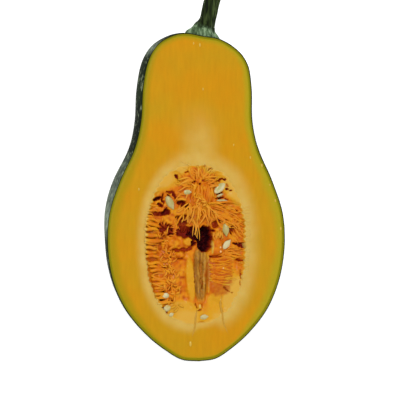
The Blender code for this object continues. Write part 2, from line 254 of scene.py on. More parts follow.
def grown(point):
    """Where a point of the plain turned fruit grew to."""
    from_stem = -point.y / MM
    radius = math.hypot(point.x, point.z) / MM
    around = math.atan2(point.z, point.x)
    fade = eased(from_stem / RIB_FADE) * eased((FRUIT_LENGTH - from_stem) / RIB_FADE)
    wave = noise.noise(point / (SKIN_WAVE_WIDTH * MM))
    radius += fade * (RIB_HEIGHT * math.cos(RIBS * around) + SKIN_WAVE * wave) - SKIN_SLACK * fade
    x = max(radius, 0.0) * math.cos(around) + eased_table(AXIS_TO_RIGHT, from_stem)
    z = max(radius, 0.0) * math.sin(around) - eased_table(AXIS_UNDER_CUT, from_stem)
    tilt = SHOULDER_TILT * (1 - eased(from_stem / SHOULDER_LENGTH))
    dip = DIP_DEPTH * math.exp(-(((x - DIP_X) / DIP_SPREAD) ** 2))
    dip *= 1 - eased(from_stem / DIP_LENGTH)
    return Vector((x * MM, (STEM_END_Y - from_stem - tilt * x - dip) * MM, CUT + z * MM))


def turned_fruit(name, inset=0.0):
    """The whole closed fruit, its surface the given number of millimetres under the skin."""
    profile = [Vector((max(r, 0.0), -s, 0.0)) * MM for s, r in smooth_curve(OUTLINE, OUTLINE_STEPS)]
    choose(None)
    bpy.ops.mesh.primitive_plane_add(size=MM, location=profile[0])
    fruit = named_new(name)
    bpy.ops.object.transform_apply()
    choose(fruit, "EDIT")
    bpy.ops.mesh.merge(type="CENTER")
    for here, there in zip(profile, profile[1:]):
        bpy.ops.mesh.extrude_region_move(TRANSFORM_OT_translate={"value": there - here})
    bpy.ops.mesh.select_all(action="SELECT")
    bpy.ops.mesh.spin(steps=TURN_STEPS, angle=math.tau, center=(0, 0, 0), axis=(0, 1, 0))
    bpy.ops.mesh.select_all(action="SELECT")
    bpy.ops.mesh.remove_doubles(threshold=0.01 * MM)
    reshape(fruit, grown)
    tidy_normals(fruit)
    if inset:
        modify(fruit, "DISPLACE", strength=-inset * MM, mid_level=0.0)
    return fruit


skin = turned_fruit("skin")
skin_tree = BVHTree.FromObject(skin, bpy.context.evaluated_depsgraph_get())
print(f"The whole fruit has {triangles(skin)} triangles")


def skin_depth(point):
    """How many millimetres a point lies under the skin."""
    return skin_tree.find_nearest(point)[3] / MM


# %% [markdown]
# ## The rind
# The rind is a waxy skin 1.5 mm thick. The whole fruit is sliced at the cut face, and what is
# above is thrown away. Points close to the blade are first pulled onto it, or the slice would
# leave slivers along the edge. The slice numbers its new points differently from run to run, so
# they are sorted before near ones are merged. A Solidify modifier gives the wall, a narrow Bevel
# takes the sharpness off the edge, and the lowest points are pressed flat where it rests.

# %% The rind as a half shell
RIND_THICKNESS = 1.5
RIND_BEVEL, BEVEL_ANGLE = 0.18, math.radians(60)
# How near the blade a point is pulled onto it, and counts as on it, and how near points are merged
NEAR_BLADE = 0.45
ON_BLADE = 0.02
SLIVER = 0.15


def onto_blade(point):
    """Pulls a point that is close to the blade onto it."""
    if abs(point.z - CUT) < NEAR_BLADE * MM:
        return Vector((point.x, point.y, CUT))
    return point


choose(skin)
bpy.ops.object.duplicate()
rind = named_new("rind_shell")
reshape(rind, onto_blade)
choose(rind, "EDIT")
bpy.ops.mesh.bisect(
    plane_co=(0, 0, CUT), plane_no=(0, 0, 1), clear_outer=True, threshold=ON_BLADE * MM
)
bpy.ops.mesh.select_all(action="SELECT")
bpy.ops.mesh.sort_elements(type="CURSOR_DISTANCE", elements={"VERT"})
bpy.ops.mesh.remove_doubles(threshold=SLIVER * MM)
modify(rind, "SOLIDIFY", thickness=RIND_THICKNESS * MM, offset=-1.0, use_even_offset=True)
modify(rind, "BEVEL", width=RIND_BEVEL * MM, segments=2, limit_method="ANGLE",
       angle_limit=BEVEL_ANGLE)
reshape(rind, lambda point: Vector((point.x, point.y, min(max(point.z, 0.0), CUT))))
tidy_normals(rind)
write_down(rind, "skin_depth", skin_depth)
smooth(rind, 40)
print(f"The rind has {triangles(rind)} triangles")

# %% [markdown]
# ## Where the cavity lies
# The cavity's rim is a rounded oval with small scallops, where the roots of the pulp's fibres
# leave the flesh. One function says how far inside the rim a place is. The flesh, the pulp and
# the materials all ask it, so that their edges and colours meet.

# %% The cavity's measures, in millimetres
CAVITY_X = 0.0
CAVITY_Y = -24.0
CAVITY_HALF_WIDTH = 33.0
CAVITY_HALF_LENGTH = 50.5
CAVITY_DEPTH = 36.0
CAVITY_SQUARENESS = 2.3
SCALLOP_HEIGHT = 0.9
SCALLOP_WIDTH = 3.4
SCALLOP_WOBBLE_WIDTH = 5.0


def rim_reach(around):
    """How far the rim lies from the cavity's middle, in the given direction."""
    across = abs(math.cos(around)) / CAVITY_HALF_WIDTH
    along = abs(math.sin(around)) / CAVITY_HALF_LENGTH
    return (across**CAVITY_SQUARENESS + along**CAVITY_SQUARENESS) ** (-1 / CAVITY_SQUARENESS)


def scallop(x, y):
    """How many millimetres the scallops move the rim at a place."""
    wobble = uneven(x, y, SCALLOP_WOBBLE_WIDTH, 7.0)
    return SCALLOP_HEIGHT * (0.5 * math.sin(math.tau * y / SCALLOP_WIDTH) + wobble)


def inside_oval_rim(x, y):
    """Millimetres from the rim without its scallops to a place inside it, and negative outside."""
    dx, dy = x - CAVITY_X, y - CAVITY_Y
    distance = math.hypot(dx, dy)
    across, along = dx / CAVITY_HALF_WIDTH, dy / CAVITY_HALF_LENGTH
    steepness = math.hypot(across / CAVITY_HALF_WIDTH, along / CAVITY_HALF_LENGTH)
    straight = math.hypot(across, along) / max(steepness * max(distance, 1e-6), 1e-6)
    reach = rim_reach(math.atan2(dy, dx))
    return (reach - distance) * min(straight, 1.0)


def inside_rim(x, y):
    """Millimetres from the scalloped rim to a place inside it, and negative outside."""
    return inside_oval_rim(x, y) + scallop(x, y)


# %% [markdown]
# ## The flesh
# The flesh is solid, and its cut face is one surface: flat where the knife went, rolling over a
# soft lip and down into the cavity. Filling the slice with one big face would be simpler, but
# then nothing on it could swell or sink. So the blade itself is modelled, as a block with a fine
# grid for its underside, shaped as the flesh's top should be. A Boolean takes the block away and
# stamps the grid on the flesh.

# %% The flesh, cut by a shaped blade
FLESH_INSET = 1.45
FLESH_UNDER_CUT = 0.10
FLESH_WAVE, FLESH_WAVE_WIDTH = 0.08, 14
KNIFE_MARK_DEPTH, KNIFE_MARK_LENGTH, KNIFE_MARK_WIDTH = 0.05, 30, 5
LIP_WIDTH = 4.0
EDGE_WIDTH = 1.6
EDGE_DROP = 0.35
BLADE_WIDTH, BLADE_LENGTH, BLADE_HEIGHT = 128.0, 220.0, 80.0
BLADE_Y = 5.0
BLADE_CELL = 0.9


def flesh_drop(x, y):
    """How many millimetres the flesh's top lies under the cut face."""
    knife_mark = noise.noise(Vector((x / KNIFE_MARK_LENGTH, y / KNIFE_MARK_WIDTH, 3.0)))
    sunken = FLESH_UNDER_CUT + KNIFE_MARK_DEPTH * knife_mark
    sunken += FLESH_WAVE * uneven(x, y, FLESH_WAVE_WIDTH, 0.0)
    inside = inside_rim(x, y)
    if inside > 0:
        share = 1 - inside / CAVITY_HALF_WIDTH
        bowl = CAVITY_DEPTH * math.sqrt(max(1 - max(share, 0.0) ** 2, 0.0))
        sunken += bowl * eased(inside / LIP_WIDTH)
    return sunken


def edge_drop(x, y):
    """The edge next to the rind is a little rounded, because the knife drags it."""
    depth = skin_depth(Vector((x * MM, y * MM, CUT))) - FLESH_INSET
    return EDGE_DROP * (1 - eased(depth / EDGE_WIDTH)) if inside_rim(x, y) < 0 else 0.0


choose(None)
bpy.ops.mesh.primitive_grid_add(
    x_subdivisions=round(BLADE_WIDTH / BLADE_CELL),
    y_subdivisions=round(BLADE_LENGTH / BLADE_CELL),
    size=1.0,
)
blade = named_new("blade")
choose(blade, "EDIT")
bpy.ops.transform.resize(value=(BLADE_WIDTH * MM, BLADE_LENGTH * MM, 1.0))
bpy.ops.transform.translate(value=(0, BLADE_Y * MM, 0))
bpy.ops.mesh.extrude_region_move(TRANSFORM_OT_translate={"value": (0, 0, CUT + BLADE_HEIGHT * MM)})


def under_blade(point):
    """Shapes the block's underside as the flesh's top should be."""
    if point.z > CUT:
        return point
    x, y = point.x / MM, point.y / MM
    return Vector((point.x, point.y, CUT - (flesh_drop(x, y) + edge_drop(x, y)) * MM))


reshape(blade, under_blade)
tidy_normals(blade)
flesh = turned_fruit("flesh_half", FLESH_INSET)
modify(flesh, "BOOLEAN", operation="DIFFERENCE", solver="EXACT", object=blade)
bpy.data.objects.remove(blade)
write_down(flesh, "skin_depth", skin_depth)
smooth(flesh, 50)
print(f"The flesh has {triangles(flesh)} triangles")

# %% [markdown]
# ## The pulp's bed
# Under the strands lies a wet, lumpy bed. It could be sculpted. Here its features are listed
# instead, each an oval with a place, a size and a turn, so that one can be found again and
# changed. A grid is pulled into the shape of the cavity and raised or sunk by that list, and its
# edge is tucked under the flesh and extruded down to close it underneath.

# %% Where the pulp grew flush with the flesh: x, y, half-width, half-length, turn in degrees
FLUSH = (
    (-25.0, 18.5, 15.5, 10.0, 0),
    (28.0, 17.5, 14.5, 13.0, 0),
    (28.5, 7.0, 8.5, 7.0, 0),
    (34.0, 0.0, 4.0, 8.0, 0),
    (1.0, -76.5, 31.0, 15.0, 0),
    (28.5, -60.0, 15.0, 18.5, 0),
    (-29.0, -74.0, 7.0, 6.0, 0),
    (-32.0, -50.0, 3.6, 12.0, 9),
    (0.5, 29.5, 15.0, 5.0, 0),
    (-10.0, 26.0, 8.5, 6.0, 0),
    (11.0, 25.5, 8.0, 6.0, 0),
)
# Lumps, flaps and strips that stand up from the bed: the same, and their height
SWELLINGS = (
    (-8.0, -3.8, 6.2, 3.6, 0, 1.8),
    (-5.0, -22.6, 3.4, 2.8, 0, 1.5),
    (-9.9, -30.9, 3.2, 2.0, 0, 1.8),
    (-3.6, -46.5, 3.3, 15.5, 5, 2.0),
    (13.9, -25.6, 3.9, 6.2, 0, 2.1),
    (5.6, 8.0, 6.4, 7.5, 0, 1.7),
    (15.6, -47.5, 9.0, 13.0, 0, 1.8),
    (24.0, -8.8, 8.0, 9.0, -20, 1.0),
    (0.5, 20.0, 11.0, 6.5, 0, 1.7),
    (-14.6, -46.0, 7.0, 13.0, 0, 1.2),
    (-14.2, -23.4, 4.0, 3.0, 0, 1.4),
    (2.5, -63.6, 1.2, 1.8, 0, 1.6),
)

# %% Hollows: the same, with their depth and how dark they are, 0 to 1, by stain and painted shade
# A hollow without depth is only a stain. In the others the dark is partly painted shade, as in the
# gaps between the comb's fingers and round and under the seeds.
HOLLOWS = (
    # The open heart of the cavity, and the clefts that lead to it
    (6.2, -20.9, 5.3, 8.4, 0, 12.0, 1.0),
    (-0.2, -17.3, 4.4, 4.4, 0, 9.0, 0.93),
    (-6.6, -16.4, 6.0, 4.0, 6, 5.5, 0.76),
    (-8.4, -9.8, 3.8, 4.6, -20, 3.5, 0.6),
    (-11.6, -7.0, 1.4, 1.0, 0, 4.0, 0.75),
    (-1.6, -23.4, 1.5, 3.0, 0, 6.0, 0.9),
    # The left side, from the top down
    (-12.4, 18.4, 1.0, 1.6, 10, 3.0, 0.8),
    (-10.9, 15.6, 1.9, 0.6, -50, 2.0, 0.6),
    (-16.5, 8.7, 3.0, 0.7, 2, 2.0, 0.62),
    (-13.2, 6.4, 2.9, 0.9, -58, 2.5, 0.8),
    (-17.5, 6.1, 2.0, 0.6, -28, 2.5, 0.78),
    (-24.6, 4.4, 3.0, 1.1, 12, 4.0, 0.9),
    (-21.0, 5.0, 0.7, 3.0, 0, 3.0, 0.75),
    (-22.7, 0.6, 2.4, 0.7, -12, 3.0, 0.8),
    (-9.2, 2.1, 2.6, 2.1, -20, 4.0, 0.78),
    (-5.0, -0.6, 3.2, 1.4, -14, 3.0, 0.64),
    (-22.8, -4.7, 2.8, 1.6, 0, 3.0, 0.68),
    (-18.8, -3.7, 2.8, 2.2, -14, 5.0, 0.84),
    (-25.6, -4.8, 3.2, 1.4, 0, 2.5, 0.58),
    (-16.5, -15.2, 2.6, 3.8, 15, 4.0, 0.82),
    (-21.0, -13.2, 3.2, 3.6, 0, 3.0, 0.72),
    (-21.0, -19.6, 2.6, 3.0, 0, 2.5, 0.42),
    (-22.9, -25.6, 1.4, 2.6, 0, 2.0, 0.38),
    (-11.6, -28.1, 3.6, 1.1, -4, 2.6, 0.5),
    (-5.6, -27.4, 4.8, 1.1, 10, 2.4, 0.54),
    (-16.5, -30.4, 1.7, 2.6, 25, 2.0, 0.38),
    (-10.6, -33.2, 3.6, 0.7, 0, 1.8, 0.42),
    (-19.2, -38.5, 2.8, 0.9, 4, 2.0, 0.4),
    (-15.8, -51.7, 2.9, 1.3, 0, 2.2, 0.45),
    (-21.4, -54.6, 1.8, 0.8, 0, 1.6, 0.5),
    (-20.7, -59.1, 2.8, 1.3, 10, 3.0, 0.72),
    (-16.1, -60.8, 2.0, 0.8, 20, 2.0, 0.45),
    (-21.0, -66.2, 2.6, 2.4, -30, 2.2, 0.5),
    (-19.4, -69.3, 2.2, 1.4, -25, 1.8, 0.35),
    (-28.5, -32.0, 4.4, 33.0, 0, 1.3, 0.28),
    # The burst of strands at the top
    (-5.4, 21.5, 1.5, 0.5, -22, 1.5, 0.4),
    (-0.5, 17.4, 0.9, 0.6, 0, 2.0, 0.6),
    (-1.0, 15.2, 1.0, 0.6, -15, 2.0, 0.65),
    (2.6, 13.7, 0.6, 1.2, 0, 2.5, 0.8),
    (6.0, 16.0, 2.0, 0.9, 0, 1.8, 0.5),
    (8.9, 23.3, 1.8, 0.5, 32, 1.4, 0.4),
    (5.5, 25.6, 0.5, 1.1, -15, 1.0, 0.3),
    (1.4, 25.6, 0.4, 1.0, 0, 1.0, 0.25),
    # The right side, from the top down
    (16.1, 16.5, 3.2, 0.7, 20, 2.0, 0.6),
    (18.6, 17.3, 0.9, 0.6, 20, 2.0, 0.8),
    (20.6, 10.6, 0.9, 0.8, 0, 2.4, 0.85),
    (22.8, 9.9, 0.8, 0.6, 0, 2.2, 0.85),
    (20.5, 13.0, 0.5, 1.2, 0, 1.0, 0.35),
    (15.8, 8.0, 2.6, 0.6, 22, 2.6, 0.85),
    (16.2, 5.3, 2.9, 0.6, 10, 2.8, 0.9),
    (20.8, 4.2, 1.6, 0.5, -28, 1.6, 0.5),
    (16.1, 1.7, 3.6, 0.5, 0, 1.4, 0.35),
    (18.5, -0.8, 2.8, 0.6, -8, 1.6, 0.4),
    (25.0, -3.0, 2.6, 1.0, -22, 2.4, 0.5),
    (17.4, -9.8, 3.2, 1.0, 4, 3.5, 0.72),
    (13.0, -11.7, 2.8, 2.2, 0, 3.0, 0.5),
    (11.2, -15.8, 1.6, 1.0, 0, 4.0, 0.8),
    (24.6, -14.8, 3.0, 3.8, 0, 3.0, 0.56),
    (28.2, -24.7, 2.9, 1.2, -4, 3.5, 0.86),
    (31.6, -25.3, 1.9, 1.6, 0, 3.0, 0.8),
    (26.2, -24.3, 1.8, 0.5, 0, 3.0, 0.8),
    (24.7, -30.4, 3.4, 0.7, 12, 1.5, 0.35),
    (13.5, -32.0, 4.6, 0.8, 0, 2.4, 0.55),
    (29.0, -34.4, 3.6, 0.6, -6, 1.8, 0.5),
    (13.7, -35.2, 2.0, 0.8, 0, 1.0, 0.25),
    (15.5, -44.0, 9.0, 14.0, 0, 0.0, 0.33),
    (12.0, -35.0, 3.6, 5.0, 0, 0.0, 0.36),
    (29.8, -44.0, 0.5, 3.0, 10, 1.0, 0.45),
    (31.3, -47.0, 0.4, 3.2, 4, 1.0, 0.42),
    (28.9, -49.5, 0.4, 2.2, 12, 0.8, 0.36),
    (20.0, -52.9, 3.2, 0.6, -42, 1.6, 0.38),
    (23.6, -55.3, 0.6, 0.6, 0, 1.2, 0.35),
    # The channel down the middle, and the pocket at its end
    (4.4, -44.0, 1.0, 12.0, 3, 3.4, 0.24),
    (-0.4, -42.0, 0.6, 11.0, 0, 2.6, 0.3),
    (2.4, -66.2, 1.7, 0.6, 0, 1.4, 0.46),
    (4.3, -63.4, 0.5, 1.7, 0, 1.2, 0.4),
    (0.7, -63.4, 0.5, 1.7, 0, 1.2, 0.42),
    (3.3, -73.9, 2.4, 0.8, 0, 0.8, 0.25),
)
CHANNEL = (3.6, -43.8, 4.2, 16.6, 0)
CHANNEL_TAPER = 0.16
CHANNEL_DEPTH = 2.0
CHANNEL_SQUARENESS = 3.4
# Smooth places, some of them thin painted highlights: the same oval, and how pale: 0.5 is golden and
# 1 is cream
GOLDEN_AND_HIGHLIGHTS = (
    (-3.2, -46.3, 3.2, 15.2, 5, 0.42),
    # A painted highlight along the channel's right edge
    (8.5, -43.0, 0.7, 13.0, 0, 0.85),
    (16.0, -60.5, 9.0, 6.5, 0, 0.5),
    (-8.0, -3.8, 6.2, 3.6, 0, 0.2),
    (-4.8, -22.6, 3.3, 2.6, 0, 0.3),
    (-9.0, -65.0, 9.0, 5.5, 0, 0.6),
    # A painted highlight along the left edge of the swollen column on the right
    (11.0, -25.6, 0.7, 5.6, 0, 0.8),
    # A painted highlight on the lump in the pocket at the channel's end
    (2.5, -63.6, 0.8, 1.6, 0, 0.9),
)
# Where the pulp stays golden between the two pale patches at the lower end
GOLDEN_GAP = (6.0, -71.0, 5.0, 14.0, 0)
print(f"{len(HOLLOWS)} hollows and {len(SWELLINGS)} swellings")


# %% How deep the bed lies, and how it is coloured
noise.seed_set(2)  # without a seed, noise_vector would differ from run to run
# How deep the loose bed lies under the cut face, and the bed that grew flush under the flesh, and
# how far the bed's edge is tucked in beyond the rim
BED_UNDER_CUT = 2.3
BED_UNDER_FLESH = 0.12
BED_TUCK = 1.2
# Each is a size in millimetres, and the width over which it changes
LUMP_HEIGHT, LUMP_WIDTH = 0.55, 4.2
GRAIN_HEIGHT, GRAIN_WIDTH = 0.4, 1.6
TEAR_REACH, TEAR_WIDTH = 1.1, 2.4
FRAY_REACH, FRAY_WIDTH = 0.5, 0.9
CREAM_WAVE, CREAM_WAVE_WIDTH = 3.2, 5.0
# Painted shade: how dark the loose pulp is between its strands, and how much that changes
PAINTED_SHADE_BETWEEN, PAINTED_SHADE_CHANGE = 0.19, 0.30
# How cream the pulp is where it grew flush, and how wide the cream line along the rim is
FLUSH_CREAM = 0.72
RIM_CREAM_WIDTH = 2.0


def oval_distance(oval, x, y):
    """How far a place is from an oval's middle, where 1 is its edge."""
    oval_x, oval_y, half_width, half_length, turn = oval[:5]
    dx, dy = x - oval_x, y - oval_y
    if abs(dx) + abs(dy) > 3 * max(half_width, half_length):
        return 9.0
    angle = math.radians(turn)
    across = (dx * math.cos(angle) + dy * math.sin(angle)) / half_width
    along = (dy * math.cos(angle) - dx * math.sin(angle)) / half_length
    return math.hypot(across, along)


def inside_oval(oval, x, y, softness=1.0):
    """1 well inside an oval, easing to 0 a little past its edge."""
    return eased((1 + 0.35 * softness - oval_distance(oval, x, y)) / softness)


def in_channel(x, y):
    """1 in the straight-sided channel down the middle, easing to 0 at its edge."""
    channel_x, channel_y, half_width, half_length, _ = CHANNEL
    half_width *= 1 + CHANNEL_TAPER * (y - channel_y) / half_length
    across = (abs(x - channel_x) / half_width) ** CHANNEL_SQUARENESS
    along = (abs(y - channel_y) / half_length) ** CHANNEL_SQUARENESS
    return eased((1.15 - (across + along) ** (1 / CHANNEL_SQUARENESS)) / 0.3)


def flushness(x, y):
    """1 where the pulp has grown flush with the flesh, and 0 where it lies loose."""
    return max(inside_oval(oval, x, y) for oval in FLUSH)


def in_hollow(oval, x, y):
    """1 in a hollow, easing to 0 at its edge, which is crisper the deeper the hollow is."""
    return inside_oval(oval, x, y, 0.56 - 0.024 * oval[5])


def torn(x, y):
    """Moves a place a little, so that an oval that is read there has a torn edge."""
    place = Vector((x, y, 4.0))
    aside = noise.noise_vector(place / TEAR_WIDTH) * TEAR_REACH
    aside += noise.noise_vector(place / FRAY_WIDTH) * FRAY_REACH
    return x + aside.x, y + aside.y


def stain_and_shade(x, y):
    """How dark and red the pulp is at a place, by stain and painted shade: 0 is clean, 1 is nearly
    black.
    """
    smooth_place = max(inside_oval(oval, x, y, 0.4) for oval in GOLDEN_AND_HIGHLIGHTS)
    loose = eased(inside_rim(x, y) / 4.5) * (1 - flushness(x, y))
    loose *= (1 - smooth_place) * (1 - in_channel(x, y))
    # Painted shade between the strands of the loose pulp
    shade_between = loose * (PAINTED_SHADE_BETWEEN + PAINTED_SHADE_CHANGE * uneven(x, y, 2.2, 2.0))
    patchy = 1 + 0.16 * uneven(x, y, 1.3, 6.0)
    x, y = torn(x, y)
    # The hollows' dark: stain, with painted shade in the deep ones and round the seeds
    stain_shade_share = max(oval[6] * min(1.7 * in_hollow(oval, x, y), 1.0) for oval in HOLLOWS)
    return max(shade_between, min(stain_shade_share * patchy, 1.0))


def creaminess(x, y):
    """How much the pulp has the colour of the flesh round it."""
    waves = noise.noise_vector(Vector((x, y, 8.0)) / CREAM_WAVE_WIDTH) * CREAM_WAVE
    flush = flushness(x + waves.x, y + waves.y)
    at_rim = (1 - eased((inside_rim(x, y) - 0.2) / RIM_CREAM_WIDTH)) * (1 - 0.15 * flush)
    golden = max(oval[5] * inside_oval(oval, x, y, 0.4) for oval in GOLDEN_AND_HIGHLIGHTS)
    at_rim *= 1 - eased((stain_and_shade(x, y) - 0.4) / 0.25)
    grown_in = FLUSH_CREAM * eased(1.15 * flush) * (1 - 0.4 * inside_oval(GOLDEN_GAP, x, y))
    return max(at_rim, grown_in, golden)


def bed_depth(x, y):
    """How many millimetres the pulp's bed lies under the cut face."""
    inside = inside_rim(x, y)
    hollow = max(oval[5] * in_hollow(oval, *torn(x, y)) for oval in HOLLOWS)
    hollow *= 1 + 0.3 * uneven(x, y, 1.7, 5.0)
    hollow = max(hollow, CHANNEL_DEPTH * in_channel(x, y))
    swelling = max(oval[5] * inside_oval(oval, x, y, 0.55) for oval in SWELLINGS)
    lumps = LUMP_HEIGHT * uneven(x, y, LUMP_WIDTH, 0.0) + GRAIN_HEIGHT * uneven(x, y, GRAIN_WIDTH, 9.0)
    loose = eased(inside / 3.4) * (1 - flushness(x, y))
    tucked = 0.5 * (1 - eased((inside + BED_TUCK) / (BED_TUCK + 0.4)))
    return BED_UNDER_FLESH + tucked + max((BED_UNDER_CUT + lumps - swelling) * loose, 0.0) + hollow


# %% The bed as a mesh
BED_CELLS_ACROSS = 136
BED_CELLS_ALONG = 208
# The steps from the bed's edge down to its underside: how deep each goes, and how far it draws in
BED_STEPS = ((1.5, 1.0), (4.5, 0.94), (8.0, 0.86), (7.0, 0.55), (3.0, 0.10))

choose(None)
bpy.ops.mesh.primitive_grid_add(
    x_subdivisions=BED_CELLS_ACROSS, y_subdivisions=BED_CELLS_ALONG, size=2.0
)
bed = named_new("pulp_bed")


def onto_bed(point):
    """Pulls the square grid into the cavity's oval, and sinks it."""
    u = point.x * math.sqrt(1 - point.y**2 / 2)
    v = point.y * math.sqrt(1 - point.x**2 / 2)
    around = math.atan2(v * CAVITY_HALF_LENGTH, u * CAVITY_HALF_WIDTH)
    reach = (rim_reach(around) + BED_TUCK) * math.hypot(u, v)
    x, y = CAVITY_X + reach * math.cos(around), CAVITY_Y + reach * math.sin(around)
    return Vector((x * MM, y * MM, CUT - bed_depth(x, y) * MM))


reshape(bed, onto_bed)
choose(bed, "EDIT")
bpy.ops.mesh.select_all(action="DESELECT")
bpy.ops.mesh.select_non_manifold(
    extend=False, use_wire=False, use_boundary=True, use_multi_face=False,
    use_non_contiguous=False, use_verts=False,
)
for sink, shrink in BED_STEPS:
    bpy.ops.mesh.extrude_region_move(TRANSFORM_OT_translate={"value": (0, 0, -sink * MM)})
    bpy.ops.transform.resize(
        value=(shrink, shrink, 1.0), center_override=(CAVITY_X * MM, CAVITY_Y * MM, CUT)
    )
bpy.ops.mesh.edge_face_add()
tidy_normals(bed)
bed_tree = BVHTree.FromObject(bed, bpy.context.evaluated_depsgraph_get())
smooth(bed, 80)
print(f"The pulp's bed has {triangles(bed)} triangles")


# How far outside the rim the bed still counts, and how far under the cut the face beyond it lies
RIM_OVERLAP = 0.5
FACE_UNDER_CUT = 0.2


def bed_height(x, y):
    """How high the bed is, in metres, at a place in millimetres. Outside it the cut face counts."""
    hit = bed_tree.ray_cast(Vector((x * MM, y * MM, 2 * CUT)), Vector((0, 0, -1)))[0]
    return hit.z if hit and inside_rim(x, y) > -RIM_OVERLAP else CUT - FACE_UNDER_CUT * MM


# %% [markdown]
# ## The pulp's strands
# The strings that held the seeds are thin, wet and tapered, and lie in families: a comb of plump
# fingers along the left edge, a burst round the top, a fringe over the dark hollow, and layered
# fibres on the right. One strand is modelled, a six-sided tube drawn to a tip. Each strand of the
# pulp is a copy of it, bent along a path of its own, and each family is joined into one piece.

# %% One strand, standing straight up, 1 long and 1 wide
STRAND_SIDES = 6
STRAND_RINGS = 8

choose(None)
bpy.ops.mesh.primitive_circle_add(vertices=STRAND_SIDES, radius=0.5, fill_type="NGON")
strand = named_new("strand")
choose(strand, "EDIT")
for ring in range(STRAND_RINGS):
    bpy.ops.mesh.extrude_region_move(TRANSFORM_OT_translate={"value": (0, 0, 1 / STRAND_RINGS)})


def strand_taper(point):
    """Plump for most of its length, then drawn to a blunt tip."""
    width = 0.8 + 0.2 * math.sin(math.pi * point.z) - 0.55 * point.z**3
    return Vector((point.x * width, point.y * width, point.z))


reshape(strand, strand_taper)
tidy_normals(strand)
write_down(strand, "along", lambda point: point.z)
smooth(strand)
print(f"One strand has {triangles(strand)} triangles")


# %% Bending copies of the strand
def bent_copy(path, width, tint):
    """A copy of the strand along a path of points, in millimetres. Its tint is from 0 to 1."""
    copy = fresh_copy(strand)
    last = len(path) - 1
    for vert in copy.data.vertices:
        at = min(max(vert.co.z, 0.0), 1.0) * last
        before = min(int(at), last - 1)
        centre = path[before].lerp(path[before + 1], at - before)
        ahead = (path[min(before + 2, last)] - path[max(before - 1, 0)]).normalized()
        side = ahead.cross(Vector((0, 0, 1))).normalized()
        up = side.cross(ahead)
        vert.co = (centre + (side * vert.co.x + up * vert.co.y) * width) * MM
    write_down(copy, "tint", lambda point: tint)
    return copy


# The strands stay this many millimetres under the CAD model's highest point
UNDER_CAD_TOP = 1.0


def strand_path(draw, root, heading, length, lift, curl, hang):
    """A path over the bed: it leaves its root, arches a little, curls sideways and lies down."""
    points = []
    wiggle, turns, phase = draw.uniform(0.02, 0.08), draw.uniform(3, 8), draw.uniform(0, math.tau)
    start = bed_height(root.x, root.y) / MM
    tip = root + heading * length
    end = bed_height(tip.x, tip.y) / MM if hang is None else CUT / MM - hang
    aside = Vector((-heading.y, heading.x))
    for step in range(STRAND_RINGS + 1):
        t = step / STRAND_RINGS
        sideways = curl * t * t + wiggle * (math.sin(phase + turns * t) - math.sin(phase))
        place = root + heading * length * t + aside * length * sideways
        height = start + (end - start) * t + lift * 4 * t * (1 - t)
        if hang is None:
            height = max(height, bed_height(place.x, place.y) / MM)
        points.append(Vector((place.x, place.y, min(height, cad_high.z / MM - UNDER_CAD_TOP))))
    return points


# %% A family of strands
def strand_family(name, seed, count, roots, headings, length, width, **more):
    """
    Strands with their roots between two places, turning from one heading to the other. The rest
    has a usual value: how far the roots spread and bow out, how many degrees the headings wander,
    how far from its root a strand starts, how it lifts and curls, how deep it hangs, and its tint.
    """
    draw = random.Random(seed)
    spread, wander = more.get("spread", 0.8), more.get("wander", 9)
    low_tint, high_tint = more.get("tint", (0.0, 0.7))
    copies = []
    for number in range(count):
        share = (number + draw.uniform(-0.2, 0.2)) / max(count - 1, 1)
        root = Vector(roots[0]).lerp(Vector(roots[1]), share)
        root.x += more.get("bow", 0.0) * 4 * share * (1 - share)
        root += Vector((draw.uniform(-spread, spread), draw.uniform(-spread, spread)))
        angle = math.radians(headings[0] + (headings[1] - headings[0]) * share
                             + draw.uniform(-wander, wander))
        heading = Vector((math.cos(angle), math.sin(angle)))
        root += heading * more.get("radius", 0.0)
        path = strand_path(
            draw, root, heading, length * draw.uniform(0.7, 1.15),
            more.get("lift", 0.6) * draw.uniform(0.5, 1.5),
            more.get("curl", 0.0) + draw.uniform(-1, 1) * more.get("curl_spread", 0.12),
            more.get("hang"),
        )
        own_width = width * draw.uniform(0.75, 1.25)
        copies.append(bent_copy(path, own_width, draw.uniform(low_tint, high_tint)))
    choose(copies[0])
    for copy in copies:
        copy.select_set(True)
    bpy.ops.object.join()
    return named_new(name)


